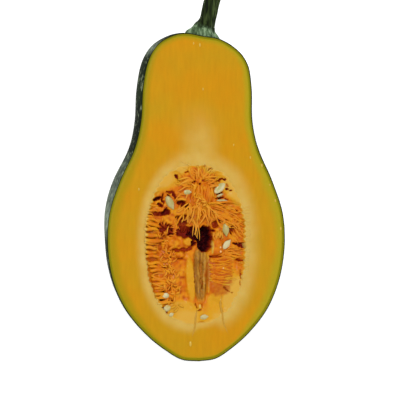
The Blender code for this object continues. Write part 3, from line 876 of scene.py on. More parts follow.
# %% The families on the left, at the top and over the hollow
families = [
    strand_family("comb_top", 10, 3, ((-30.2, 1.2), (-31.6, -5.6)), (-4, -8), 8.0, 2.0,
                  spread=0.1, wander=6, lift=0.2, curl_spread=0.05, tint=(0.0, 0.3)),
    strand_family("comb_left", 11, 10, ((-33.0, -8.4), (-31.6, -35.0)), (-10, -6), 11.5, 2.8,
                  bow=-1.2, spread=0.3, wander=5, lift=0.2, curl_spread=0.08, tint=(0.0, 0.4)),
    strand_family("comb_low", 28, 9, ((-29.6, -38.2), (-25.2, -60.5)), (-8, -4), 10.0, 2.6,
                  spread=0.3, wander=5, lift=0.2, curl_spread=0.08, tint=(0.0, 0.4)),
    strand_family("comb_left_fine", 12, 14, ((-33.0, -4.0), (-24.0, -61.0)), (-14, 8), 9.0, 1.0,
                  bow=-2.4, spread=1.0, wander=10, lift=0.6, tint=(0.1, 0.7)),
    strand_family("jumble_left", 13, 56, ((-17.5, -38.0), (-14.5, -62.0)), (0, 0), 4.4, 1.5,
                  spread=3.6, wander=180, lift=0.9, curl_spread=0.6),
    strand_family("jumble_high", 25, 30, ((-21.0, -18.0), (-17.0, -34.0)), (0, 0), 4.0, 1.3,
                  spread=2.8, wander=180, lift=0.8, curl_spread=0.6),
    strand_family("burst_left", 14, 16, ((-2.0, 12.0), (0.5, 17.0)), (205, 115), 9.5, 1.5,
                  spread=1.6, wander=14, lift=0.6, curl_spread=0.8, radius=2.0, tint=(0.2, 1.0)),
    strand_family("burst_top", 15, 18, ((0.0, 17.0), (6.0, 17.0)), (125, 55), 6.5, 1.3,
                  spread=1.4, wander=12, lift=0.5, curl_spread=0.6, radius=1.5, tint=(0.3, 1.0)),
    strand_family("burst_right", 16, 15, ((4.0, 17.0), (7.0, 13.0)), (60, -6), 7.5, 1.45,
                  spread=1.6, wander=14, lift=0.6, curl_spread=0.8, radius=1.5, tint=(0.1, 0.9)),
    strand_family("tuft_left", 21, 9, ((-4.0, 8.0), (-7.5, -3.5)), (170, 215), 6.4, 1.4,
                  spread=2.0, wander=20, lift=0.8, curl_spread=0.5, tint=(0.1, 0.9)),
    strand_family("column", 17, 12, ((-0.5, 14.0), (10.0, 13.0)), (-100, -78), 12.0, 1.6,
                  spread=1.2, wander=12, lift=0.2, curl_spread=0.2, tint=(0.0, 0.3)),
    strand_family("column_curls", 26, 22, ((0.5, 9.0), (7.5, -3.0)), (0, 0), 3.4, 1.2,
                  spread=4.0, wander=180, lift=0.9, curl_spread=0.7, tint=(0.2, 1.0)),
    strand_family("fringe", 18, 30, ((-5.5, 0.5), (9.5, -1.0)), (-128, -56), 9.5, 1.15,
                  spread=2.4, wander=20, lift=1.0, curl_spread=0.45, hang=1.1, tint=(0.3, 1.0)),
    strand_family("fringe_long", 19, 5, ((-0.8, -8.0), (1.2, -8.0)), (-94, -88), 13.0, 0.9,
                  spread=0.4, wander=4, lift=0.4, curl_spread=0.08, hang=1.6, tint=(0.8, 1.0)),
    strand_family("flap_edge", 20, 12, ((-8.5, -6.0), (-2.0, -6.5)), (-100, -70), 4.6, 0.9,
                  spread=0.6, wander=18, lift=0.5, curl_spread=0.3, hang=1.8, tint=(0.6, 1.0)),
    strand_family("cleft_strands", 24, 22, ((-13.0, -7.5), (-4.5, -11.5)), (-112, -64), 6.0, 0.9,
                  spread=1.4, wander=26, lift=0.3, curl_spread=0.5, tint=(0.0, 0.5)),
    strand_family("left_cleft_strands", 27, 20, ((-22.0, -9.0), (-15.0, -18.0)), (-60, -20), 5.0, 0.9,
                  spread=2.2, wander=50, lift=0.6, curl_spread=0.6, tint=(0.0, 0.6)),
    strand_family("bridge", 22, 4, ((-19.5, -21.0), (-18.6, -17.5)), (42, 78), 6.5, 0.8,
                  spread=0.3, wander=6, lift=1.4, tint=(0.4, 0.9)),
]

# %% The families on the right
families += [
    strand_family("layers_right", 31, 30, ((9.5, 2.0), (15.0, -8.0)), (2, -36), 14.0, 1.3,
                  spread=1.8, wander=10, lift=0.9, curl=-0.10, curl_spread=0.25, tint=(0.0, 0.4)),
    strand_family("layers_right_edge", 32, 22, ((20.0, 0.0), (25.0, -17.0)), (-18, -48), 9.0, 1.2,
                  spread=1.8, wander=11, lift=0.9, curl_spread=0.25, tint=(0.0, 0.6)),
    strand_family("rim_right", 33, 13, ((35.0, -1.0), (35.8, -21.5)), (182, 188), 7.0, 0.8,
                  spread=0.4, wander=8, lift=0.2, tint=(0.2, 0.8)),
    strand_family("rim_right_low", 38, 9, ((35.4, -28.0), (34.4, -41.0)), (184, 192), 7.0, 0.8,
                  spread=0.4, wander=8, lift=0.2, tint=(0.2, 0.8)),
    strand_family("right_tuft", 34, 12, ((11.5, -17.2), (17.2, -16.6)), (-104, -80), 4.6, 1.1,
                  spread=0.8, wander=14, lift=0.8, curl_spread=0.3, tint=(0.6, 1.0)),
    strand_family("under_seed_right", 35, 14, ((20.0, -28.4), (17.0, -31.6)), (2, -8), 11.0, 1.2,
                  spread=1.0, wander=8, lift=0.5, curl_spread=0.1, tint=(0.0, 0.6)),
    strand_family("layers_low", 36, 22, ((9.6, -34.0), (9.8, -48.0)), (3, -8), 16.0, 1.2,
                  spread=1.4, wander=5, lift=-0.25, curl_spread=0.06, tint=(0.0, 0.3)),
    strand_family("curls_right", 39, 26, ((13.0, -3.0), (28.0, -14.0)), (0, -40), 4.0, 1.2,
                  spread=3.4, wander=70, lift=1.0, curl_spread=0.6, tint=(0.0, 0.8)),
]
print(f"{len(families)} families, {sum(triangles(piece) for piece in families)} triangles")

# %% [markdown]
# ## The seeds
# Eleven flat cream seeds lie loose in the pulp. A seed is a thin, pointed oval with a raised
# margin. It starts as a ball, pressed flat, with the ring round its middle drawn out for the
# margin. Each copy gets its own size, turn and lean, and is set in the bed where it lies.

# %% One seed, lying along X, 1 long
SEED_WIDTH = 0.60
SEED_THICKNESS = 0.28
# Between which distances from the middle plane a ring of points lies, and how wide it is drawn:
# the margin stands out, and the groove beside it is drawn in
SEED_RINGS = ((0.0, 0.02, 1.08), (0.08, 0.13, 0.97))

choose(None)
bpy.ops.mesh.primitive_uv_sphere_add(segments=28, ring_count=14, radius=0.5)
seed = named_new("seed")
for nearest, farthest, widening in SEED_RINGS:
    pick(seed, lambda point: nearest <= abs(point.z) < farthest)
    bpy.ops.transform.resize(value=(widening, widening, 1.0))


def seed_shape(point):
    """Flattens the ball, and draws it to a point at one end."""
    taper = 1 - 0.55 * eased(2 * point.x) ** 1.5
    return Vector((point.x, point.y * SEED_WIDTH * taper, point.z * SEED_THICKNESS * taper**0.5))


reshape(seed, seed_shape)
modify(seed, "SUBSURF", levels=1, render_levels=1)
smooth(seed)

# %% The seeds where they lie
SEED_PLUMPNESS = 1.7
# x, y, length and width in millimetres, turn and lean in degrees, height over the bed, how tan
SEEDS = (
    (16.0, 11.6, 9.6, 5.0, 42, 12, 0.5, 0.1),
    (-5.4, 8.6, 5.6, 3.6, 4, 24, 0.6, 0.1),
    (-16.6, 1.9, 9.4, 4.6, -62, 14, 0.5, 0.7),
    (16.0, 6.8, 5.2, 3.0, 22, 66, 0.5, 0.3),
    (17.4, 3.3, 7.4, 3.6, -2, 68, 0.4, 0.3),
    (19.6, -15.2, 8.4, 4.2, -84, 22, 0.7, 0.8),
    (20.6, -24.4, 7.4, 4.2, 50, 14, 0.6, 0.2),
    (-19.4, -56.4, 5.4, 3.6, 2, 18, 1.4, 0.0),
    (-18.4, -64.4, 5.0, 4.4, 10, 16, 0.7, 0.2),
    (-16.2, -68.4, 3.4, 2.8, 25, 20, 0.5, 0.4),
    (5.2, -70.4, 5.4, 3.6, 6, 20, 0.2, 0.5),
)
seeds = []
for number, (x, y, length, width, turn, lean, over_bed, tan) in enumerate(SEEDS):
    copy = fresh_copy(seed)
    copy.name = f"seed_{number + 1:02d}"
    copy.data.transform(
        Matrix.Translation((x * MM, y * MM, bed_height(x, y) + over_bed * MM))
        @ Matrix.Rotation(math.radians(turn), 4, "Z")
        @ Matrix.Rotation(math.radians(lean), 4, "X")
        @ Matrix.Diagonal((length * MM, width / SEED_WIDTH * MM, width * SEED_PLUMPNESS * MM, 1.0))
    )
    write_down(copy, "tan", lambda point: tan)
    seeds.append(copy)
print(f"{len(seeds)} seeds of {triangles(seed)} triangles each")

# %% [markdown]
# ## The stem
# The stem is woody and five-ridged, and flares into feet where it grows out of the shoulder. A
# ring is extruded straight up. A rule then lays this tube along the stem's bent middle line, sets
# its width there and raises the ridges. The blade that cut the fruit also trimmed the flare, and a
# Boolean with the whole fruit makes its underside fit the shoulder.

# %% The stem
# x and y of its middle line, millimetres under the cut, and the half-width there
STEM_LINE = (
    (8.0, 101.0, 11.0, 16.0), (6.4, 106.8, 11.0, 12.1), (6.0, 108.7, 11.0, 10.9),
    (5.6, 110.1, 11.0, 10.2), (5.3, 112.0, 11.0, 9.3), (6.0, 113.5, 11.0, 8.5),
    (7.9, 115.3, 11.0, 6.6), (9.0, 116.9, 10.9, 5.7), (10.2, 120.3, 10.7, 5.0),
    (11.3, 125.4, 10.3, 5.1), (12.2, 130.4, 9.9, 5.1), (14.1, 136.4, 9.6, 5.2),
    (16.7, 143.0, 9.4, 5.7),
)
STEM_RIDGES = 5
# Shares of the half-width: how high the ridges and the fine ridges on them are, how much flatter
# than a wave the ridges are, and how rough the wood is
RIDGE_HEIGHT, FINE_RIDGE_HEIGHT = 0.11, 0.02
RIDGE_FLATTENING = 0.05
STEM_ROUGHNESS = 0.025
# The half-width from which the stem flares, and over which its rings turn square to the fruit
FLARE_FROM, FLARE_OVER = 5.4, 2
STEM_FLATNESS = 0.84
STEM_SIDES = 80
STEM_RINGS = 44

stem_line = smooth_curve(STEM_LINE, STEM_RINGS)
centres = [Vector((x, y, CUT / MM - under)) for x, y, under, _ in stem_line]
choose(None)
bpy.ops.mesh.primitive_circle_add(vertices=STEM_SIDES, radius=1.0, fill_type="NGON")
stem = named_new("ribbed_stem")
choose(stem, "EDIT")
for ring in range(STEM_RINGS - 1):
    bpy.ops.mesh.extrude_region_move(TRANSFORM_OT_translate={"value": (0, 0, 1)})
bpy.ops.mesh.inset(thickness=0.25)
bpy.ops.mesh.inset(thickness=0.25)
bpy.ops.transform.translate(value=(0, 0, -0.6))


def along_stem(point):
    """Lays a point of the straight ribbed tube along the stem's bent line."""
    at = min(max(point.z, 0.0), STEM_RINGS - 1.0)
    before = min(int(at), STEM_RINGS - 2)
    centre = centres[before].lerp(centres[before + 1], at - before)
    half_width = stem_line[before][3] * (1 - at + before) + stem_line[before + 1][3] * (at - before)
    ahead = (centres[min(before + 2, STEM_RINGS - 1)] - centres[max(before - 1, 0)]).normalized()
    ahead = ahead.lerp(Vector((0, 1, 0)), eased((half_width - FLARE_FROM) / FLARE_OVER)).normalized()
    side = ahead.cross(Vector((0, 0, 1))).normalized()
    up = side.cross(ahead)
    around = math.atan2(point.y, point.x)
    reach = math.hypot(point.x, point.y)
    ridge = math.cos(STEM_RIDGES * around + 0.3 * math.sin(at / 9))
    groove = RIDGE_HEIGHT * ridge - RIDGE_FLATTENING * ridge**2
    groove += FINE_RIDGE_HEIGHT * math.cos(3 * STEM_RIDGES * around + at / 6)
    rough = STEM_ROUGHNESS * noise.noise(Vector((point.x * 2, point.y * 2, at / 4)))
    radius = half_width * reach * (1 + (groove + rough) * reach)
    offset = side * math.cos(around) + up * math.sin(around) * STEM_FLATNESS
    return (centre + offset * radius) * MM


reshape(stem, along_stem)
tidy_normals(stem)
modify(stem, "BOOLEAN", operation="DIFFERENCE", solver="EXACT", object=skin)
pick(stem, lambda point: True)
bpy.ops.mesh.bisect(plane_co=(0, 0, CUT), plane_no=(0, 0, 1), clear_outer=True, use_fill=True)
tidy_normals(stem)
smooth(stem, 45)
print(f"The stem has {triangles(stem)} triangles")

# %% [markdown]
# ## Sap beads and juice
# A fresh cut weeps: a few pale beads of sap stand near the rind, four drops of juice catch the
# light on the pulp, and two thin threads of juice have run down the lower face, one of them ending
# in a bright bead. Beads and drops are stretched balls. The threads are copies of the strand, half
# sunk in the face.

# %% A ball of juice or sap
def little_ball(name, segments, rings, place, size):
    """A ball with its middle at a place, stretched to a size in millimetres."""
    choose(None)
    bpy.ops.mesh.primitive_uv_sphere_add(segments=segments, ring_count=rings, radius=0.5)
    ball = named_new(name)
    choose(ball, "EDIT")
    bpy.ops.transform.resize(value=[side * MM for side in size])
    bpy.ops.transform.translate(value=place)
    smooth(ball)
    return ball


# %% Beads of sap on the flesh: x, y and width in millimetres
BEADS = (
    (-1.7, 102.9, 0.9), (2.4, 102.0, 1.2), (4.4, 74.1, 0.9), (24.6, 38.9, 0.8), (35.6, 31.0, 0.9),
    (43.4, 26.0, 1.1), (-37.0, 10.5, 0.9), (48.8, 13.5, 0.8), (52.3, 3.4, 1.0), (56.0, -14.6, 1.1),
    (-3.8, -87.1, 1.7),
)
BEAD_LENGTH, BEAD_HEIGHT = 2.1, 0.6

beads = []
for number, (x, y, width) in enumerate(BEADS):
    ground = CUT - (flesh_drop(x, y) + edge_drop(x, y)) * MM
    beads.append(little_ball(
        f"sap_bead_{number + 1:02d}", 14, 9, (x * MM, y * MM, ground),
        (width, width * BEAD_LENGTH, width * BEAD_HEIGHT),
    ))
print(f"{len(beads)} beads")

# %% Threads of juice: the places that they run through
THREADS = (
    ((0.6, -66.0), (-0.4, -70.5), (-0.8, -76.0), (-2.2, -81.0), (-3.4, -85.5)),
    ((16.9, -57.5), (16.0, -62.0), (17.2, -68.5), (17.5, -73.5), (19.8, -79.0), (23.4, -86.8)),
)
THREAD_WIDTH, THREAD_SUNK = 1.7, 0.45

threads = []
for number, places in enumerate(THREADS):
    path = []
    for x, y in smooth_curve(places, STRAND_RINGS + 1):
        ground = bed_height(x, y) / MM if inside_rim(x, y) > 0 else CUT / MM - flesh_drop(x, y)
        path.append(Vector((x, y, ground - THREAD_SUNK)))
    thread = bent_copy(path, THREAD_WIDTH, 0.5)
    thread.name = f"juice_thread_{number + 1}"
    threads.append(thread)
print(f"{len(threads)} threads")

# %% Drops of juice on the pulp, bright as painted highlights: x, y and width in millimetres
DROPS = ((15.0, -9.1, 1.3), (15.8, -26.3, 1.1), (16.0, -29.0, 1.3), (17.7, -39.6, 0.9))
DROP_LENGTH = 1.2
DROP_OVER_BED = 0.6

drops = []
for number, (x, y, width) in enumerate(DROPS):
    over_bed = bed_height(x, y) + DROP_OVER_BED * MM
    drops.append(little_ball(
        f"juice_drop_{number + 1}", 16, 10, (x * MM, y * MM, over_bed),
        (width, width * DROP_LENGTH, width),
    ))
print(f"{len(drops)} drops")

# %% [markdown]
# ## What every piece knows about its place
# The pulp is cream at the rim, orange inside and blood-dark in its hollows, that dark partly painted
# shade, and the flesh is pale round the cavity and up the neck. No pattern of a shader's own could
# follow that. So each point keeps a few numbers from 0 to 1 that say which colour belongs there, and
# the materials read them.

# %% Numbers for the materials
# How far from the rim the halo stays full, and where it has gone
HALO_FULL = 1.4
HALO_GONE_LEFT, HALO_GONE_RIGHT = 6.0, 9.0
# In a gap at the lower end it is narrower: from where down, how narrow, and how wide the gap is
HALO_LOW_Y, HALO_LOW_LENGTH = -60.0, 12
HALO_LOW_SHARE = 0.55
HALO_GAP_X, HALO_GAP_HALF_WIDTH, HALO_GAP_EDGE = 7.0, 4, 7
# Plumes of cream: x, y, half-width, half-length, turn in degrees, and how strong
PLUMES = (
    (2.4, 37.0, 11.0, 16.0, 0, 0.75), (0.0, 28.5, 16.0, 7.0, 0, 0.7), (22.0, 16.0, 8.0, 9.0, 0, 0.6),
    (1.0, 51.0, 14.0, 14.0, 0, 0.2), (-17.0, 21.0, 9.0, 7.0, 20, 0.3),
)


def halo(point):
    """How cream the flesh is: a band round the cavity, and a plume up the neck."""
    x, y = point.x / MM, point.y / MM
    to_right = eased((x + CAVITY_HALF_WIDTH) / (2 * CAVITY_HALF_WIDTH))
    gone = HALO_GONE_LEFT + (HALO_GONE_RIGHT - HALO_GONE_LEFT) * to_right
    low = eased((HALO_LOW_Y - y) / HALO_LOW_LENGTH)
    low *= 1 - eased((abs(x - HALO_GAP_X) - HALO_GAP_HALF_WIDTH) / HALO_GAP_EDGE)
    gone *= 1 - (1 - HALO_LOW_SHARE) * low
    full = HALO_FULL * (1 - low)
    band = 1 - eased((-inside_oval_rim(x, y) - full) / (gone - full))
    clear = 1 - band
    for plume in PLUMES:
        clear *= 1 - plume[5] * inside_oval(plume, x, y, 1.3)
    return 1 - clear


# Strands take up most of the stain and painted shade, from one depth on and over another
STRAND_STAIN_AND_SHADE = 0.8
SHADED_FROM, SHADED_OVER = 1.6, 2.4


def strand_stain_and_shade(point):
    """Strands take up the stain and painted shade only where they dip into a hollow, more the deeper.
    """
    dipped = eased(((CUT - point.z) / MM - SHADED_FROM) / SHADED_OVER)
    return STRAND_STAIN_AND_SHADE * stain_and_shade(point.x / MM, point.y / MM) * dipped


write_down(flesh, "halo", halo)
write_down(bed, "stain_and_shade", lambda point: stain_and_shade(point.x / MM, point.y / MM))
write_down(bed, "tan", lambda point: in_channel(point.x / MM, point.y / MM))
for name in ("along", "tint"):
    write_down(bed, name, lambda point: 0.0)
for piece in families:
    write_down(piece, "stain_and_shade", strand_stain_and_shade)
    write_down(piece, "tan", lambda point: 0.0)
for piece in [bed, *families]:
    write_down(piece, "cream", lambda point: creaminess(point.x / MM, point.y / MM))
print("The flesh, the bed and the strands know their colours")

# %% [markdown]
# ## Building materials
# Every finish below is a small graph of nodes round one Principled shader. One function adds a
# node and fills its inputs: an input is a number, a colour or the node that it comes from. Another
# turns a colour as a paint program shows it into the linear numbers that a shader works with.


# %% Colours and nodes
def linear(colour):
    """A hex colour in sRGB as the linear colour that a shader takes."""
    shares = [int(colour[i:i + 2], 16) / 255 for i in (1, 3, 5)]
    return [c / 12.92 if c <= 0.04045 else ((c + 0.055) / 1.055) ** 2.4 for c in shares] + [1.0]


def fill(tree, node, inputs):
    """Fills a node's inputs. A node or an output is joined to its input, and a value is set."""
    for name, given in inputs.items():
        if isinstance(given, bpy.types.Node):
            given = next(output for output in given.outputs if output.enabled)
        if isinstance(given, bpy.types.NodeSocket):
            tree.links.new(given, node.inputs[name])
        else:
            node.inputs[name].default_value = linear(given) if isinstance(given, str) else given


def add(tree, kind, inputs=None, stops=(), **settings):
    """Adds a node with its settings, its inputs and, for a colour ramp, its stops."""
    made = tree.nodes.new("ShaderNode" + kind)
    for name, value in settings.items():
        setattr(made, name, value)
    fill(tree, made, inputs or {})
    for number, (place, colour) in enumerate(stops):
        elements = made.color_ramp.elements
        stop = elements[number] if number < 2 else elements.new(place)
        stop.position, stop.color = place, linear(colour)
    return made


def new_material(name):
    """A material with its node tree and its Principled shader."""
    material = bpy.data.materials.new(name)
    material.use_nodes = True
    return material, material.node_tree, material.node_tree.nodes["Principled BSDF"]


def give(material, slot, *pieces):
    """Gives the pieces their material and the body they ride on. The slot is not used."""
    for piece in pieces:
        piece.data.materials.clear()
        piece.data.materials.append(material)
        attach(piece, "root")


# %% [markdown]
# ## The flesh's finish
# Raw pumpkin flesh, sliced with a knife. It is dense and moist, so light goes a few millimetres
# into it and it has only a low gloss. Its colour is what makes it read as pumpkin: yellow-green
# just under the rind, golden orange in the wall, and pale cream round the cavity, with a plume
# of that cream running up the neck. The fine fibres run the long way.

# %% Raw flesh, knife cut
# A Mix node has several inputs of each name, so those for colours go by their numbers
FACTOR, MIX_A, MIX_B = 0, 6, 7


def flesh_finish():
    material, tree, shader = new_material("raw_pumpkin_flesh_knife_cut")
    place = add(tree, "TexCoord").outputs["Object"]
    depth = add(tree, "Attribute", attribute_name="skin_depth").outputs["Fac"]
    cream = add(tree, "Attribute", attribute_name="halo").outputs["Fac"]

    # Golden wall with warmer patches a few centimetres wide
    patches = add(tree, "TexNoise", {"Vector": place, "Scale": 1 / (34 * MM), "Detail": 3.0})
    golden = add(tree, "ValToRGB", {"Fac": patches}, stops=((0.34, "#BC8E12"), (0.64, "#C8890C")))

    # Fibres that run the long way, about 2 mm apart
    stretched = add(tree, "Mapping", {"Vector": place, "Scale": (1.0, 0.16, 1.0)})
    streaks = add(tree, "TexNoise", {"Vector": stretched, "Scale": 1 / (2.2 * MM), "Detail": 4.0,
                                     "Roughness": 0.6})
    tone = add(tree, "MapRange", {"Value": streaks, "From Min": 0.3, "From Max": 0.7,
                                  "To Min": 0.955, "To Max": 1.045})
    fibrous = add(tree, "Mix", {FACTOR: 1.0, MIX_A: golden, MIX_B: tone},
                  data_type="RGBA", blend_type="MULTIPLY")

    # A cream halo round the cavity and up the neck
    blur = add(tree, "TexNoise", {"Vector": place, "Scale": 1 / (9 * MM), "Detail": 3.0})
    strength = add(tree, "MapRange", {"Value": blur, "From Min": 0.3, "From Max": 0.7,
                                      "To Min": 0.6, "To Max": 1.0})
    halo_share = add(tree, "Math", {0: strength, 1: cream}, operation="MULTIPLY")
    pale = add(tree, "Mix", {FACTOR: halo_share, MIX_A: fibrous, MIX_B: "#CEAA54"}, data_type="RGBA")

    # Yellow-green under the rind, in a wide band along both flanks and a narrow one at the tip
    axes = add(tree, "SeparateXYZ", {"Vector": place})
    aside = add(tree, "Math", {0: axes.outputs["X"]}, operation="ABSOLUTE")
    bulge = add(tree, "MapRange", {"Value": aside, "From Min": 20 * MM, "From Max": 45 * MM,
                                   "To Min": 1.0, "To Max": 0.6}, interpolation_type="SMOOTHSTEP")
    at_tip = add(tree, "MapRange", {"Value": axes.outputs["Y"], "From Min": -70 * MM,
                                    "From Max": -95 * MM, "To Min": 1.0, "To Max": 1.5},
                 interpolation_type="SMOOTHSTEP")
    wider = add(tree, "Math", {0: at_tip, 1: bulge}, operation="MULTIPLY")
    banded = add(tree, "Math", {0: depth, 1: wider}, operation="MULTIPLY")
    ragged = add(tree, "Math", {0: blur, 1: 1.4, 2: banded}, operation="MULTIPLY_ADD")
    under_rind = add(tree, "MapRange", {"Value": ragged, "From Min": 2.4, "From Max": 6.2,
                                        "To Min": 1.0, "To Max": 0.0}, interpolation_type="SMOOTHSTEP")
    side = add(tree, "MapRange", {"Value": axes.outputs["X"], "From Min": -30 * MM,
                                  "From Max": 30 * MM})
    band = add(tree, "Mix", {FACTOR: side, MIX_A: "#A6880A", MIX_B: "#AC9718"}, data_type="RGBA")
    yellow = add(tree, "Mix", {FACTOR: under_rind, MIX_A: pale, MIX_B: band}, data_type="RGBA")
    at_rind = add(tree, "MapRange", {"Value": depth, "From Min": 1.3, "From Max": 2.6,
                                     "To Min": 1.0, "To Max": 0.0}, interpolation_type="SMOOTHSTEP")
    green = add(tree, "Mix", {FACTOR: at_rind, MIX_A: yellow, MIX_B: "#8A8608"}, data_type="RGBA")

    # The knife leaves the grain of the cells standing, about half a millimetre apart
    cells = add(tree, "TexNoise", {"Vector": place, "Scale": 1 / (0.6 * MM), "Detail": 2.0})
    relief = add(tree, "Math", {0: streaks, 1: 0.35, 2: cells}, operation="MULTIPLY_ADD")
    bump = add(tree, "Bump", {"Height": relief, "Strength": 0.25, "Distance": 0.3 * MM})

    fill(tree, shader, {"Base Color": green, "Normal": bump, "Roughness": 0.42, "IOR": 1.38,
                        "Specular IOR Level": 0.08, "Subsurface Weight": 0.15,
                        "Subsurface Radius": (1.0, 0.45, 0.08), "Subsurface Scale": 3 * MM})
    return material


give(flesh_finish(), "flesh", flesh)
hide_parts("flesh")

# %% [markdown]
# ## The pulp's finish
# Wet, fibrous placenta tissue, torn by the knife. It is orange to yellow where light goes through
# it. In the gaps it is red-brown and at the bottom of the hollow nearly black-purple, partly its own
# stain and partly painted shade. A film of juice gives it small sharp lights, which is a clear coat
# here. The same graph serves the bed and the strands, so that they meet without a seam.

# %% Wet pulp
def pulp_finish():
    material, tree, shader = new_material("wet_pumpkin_pulp_torn")
    place = add(tree, "TexCoord").outputs["Object"]
    knows = {name: add(tree, "Attribute", attribute_name=name).outputs["Fac"]
             for name in ("cream", "stain_and_shade", "tan", "along", "tint")}

    # Orange, more golden in patches of a few millimetres
    mottle = add(tree, "TexNoise", {"Vector": place, "Scale": 1 / (5 * MM), "Detail": 3.0})
    base = add(tree, "ValToRGB", {"Fac": mottle},
               stops=((0.34, "#CA6406"), (0.5, "#D67A08"), (0.66, "#DC9212")))

    # Tips and some whole strands are lighter and yellower
    lit = add(tree, "MapRange", {"Value": knows["along"], "To Min": 0.45, "To Max": 1.0})
    share = add(tree, "Math", {0: lit, 1: knows["tint"]}, operation="MULTIPLY")
    tips = add(tree, "Mix", {FACTOR: share, MIX_A: base, MIX_B: "#E2A032"}, data_type="RGBA")

    # Golden and then cream towards the places where it has grown flush with the flesh
    to_gold = add(tree, "MapRange", {"Value": knows["cream"], "From Max": 0.5},
                  interpolation_type="SMOOTHSTEP")
    golden = add(tree, "Mix", {FACTOR: to_gold, MIX_A: tips, MIX_B: "#D2961A"}, data_type="RGBA")
    to_cream = add(tree, "MapRange", {"Value": knows["cream"], "From Min": 0.5},
                   interpolation_type="SMOOTHSTEP")
    pale = add(tree, "Mix", {FACTOR: to_cream, MIX_A: golden, MIX_B: "#D2AC52"}, data_type="RGBA")

    # Tan in the channel, in long streaks
    stretched = add(tree, "Mapping", {"Vector": place, "Scale": (1.0, 0.1, 1.0)})
    streaks = add(tree, "TexNoise", {"Vector": stretched, "Scale": 1 / (1.6 * MM), "Detail": 2.0})
    tan = add(tree, "ValToRGB", {"Fac": streaks},
              stops=((0.3, "#7C4A0E"), (0.5, "#A87422"), (0.7, "#CA9638")))
    tanned = add(tree, "Mix", {FACTOR: knows["tan"], MIX_A: pale, MIX_B: tan}, data_type="RGBA")

    # Stained brown, then red, then nearly black in the hollows, the stain carrying painted shade
    stained_and_shaded = add(tree, "ValToRGB", {"Fac": knows["stain_and_shade"]},
               stops=((0.15, "#BC5A08"), (0.5, "#9C340C"), (0.8, "#7E1E14"), (1.0, "#320B12")))
    stain_shade_share = add(tree, "MapRange", {"Value": knows["stain_and_shade"], "From Min": 0.05, "From Max": 0.5},
                 interpolation_type="SMOOTHSTEP")
    coloured = add(tree, "Mix", {FACTOR: stain_shade_share, MIX_A: tanned, MIX_B: stained_and_shaded}, data_type="RGBA")

    # The film of juice shines on what stands up, and hardly at the bottom of a hollow
    film = add(tree, "MapRange", {"Value": knows["stain_and_shade"], "From Min": 0.3, "From Max": 0.8,
                                  "To Min": 0.1, "To Max": 0.02})

    # Fine threads under the wet film, about 0.8 mm apart
    grain = add(tree, "TexNoise", {"Vector": place, "Scale": 1 / (0.8 * MM), "Detail": 2.0,
                                   "Distortion": 1.2})
    bump = add(tree, "Bump", {"Height": grain, "Strength": 0.35, "Distance": 0.4 * MM})

    fill(tree, shader, {"Base Color": coloured, "Normal": bump, "Roughness": 0.45, "IOR": 1.36,
                        "Specular IOR Level": film, "Coat Weight": film, "Coat Roughness": 0.22,
                        "Subsurface Weight": 0.06, "Subsurface Radius": (1.0, 0.35, 0.08),
                        "Subsurface Scale": 1.5 * MM})
    return material


give(pulp_finish(), "pulp", bed, *families)
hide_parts("pulp")

# %% [markdown]
# ## The seeds' finish
# A seed's coat is smooth, cream-white and slippery with juice, with blotches that are a little
# green or brown. Some seeds are tanner all over.

# %% Wet seed coat
def seed_finish():
    material, tree, shader = new_material("wet_seed_coat")
    place = add(tree, "TexCoord").outputs["Object"]
    blotches = add(tree, "TexNoise", {"Vector": place, "Scale": 1 / (5 * MM), "Detail": 2.0})
    cream = add(tree, "ValToRGB", {"Fac": blotches},
                stops=((0.35, "#B0A868"), (0.52, "#D8CCA0"), (0.68, "#C4AE62")))
    bump = add(tree, "Bump", {"Height": blotches, "Strength": 0.1, "Distance": 0.3 * MM})
    tan = add(tree, "Attribute", attribute_name="tan").outputs["Fac"]
    tanned = add(tree, "Mix", {FACTOR: tan, MIX_A: cream, MIX_B: "#A8984C"}, data_type="RGBA")
    fill(tree, shader, {"Base Color": tanned, "Normal": bump, "Roughness": 0.36, "IOR": 1.45,
                        "Coat Weight": 0.12, "Coat Roughness": 0.08, "Subsurface Weight": 0.15,
                        "Subsurface Radius": (1.0, 0.8, 0.5), "Subsurface Scale": MM})
    return material


give(seed_finish(), "pulp", *seeds)
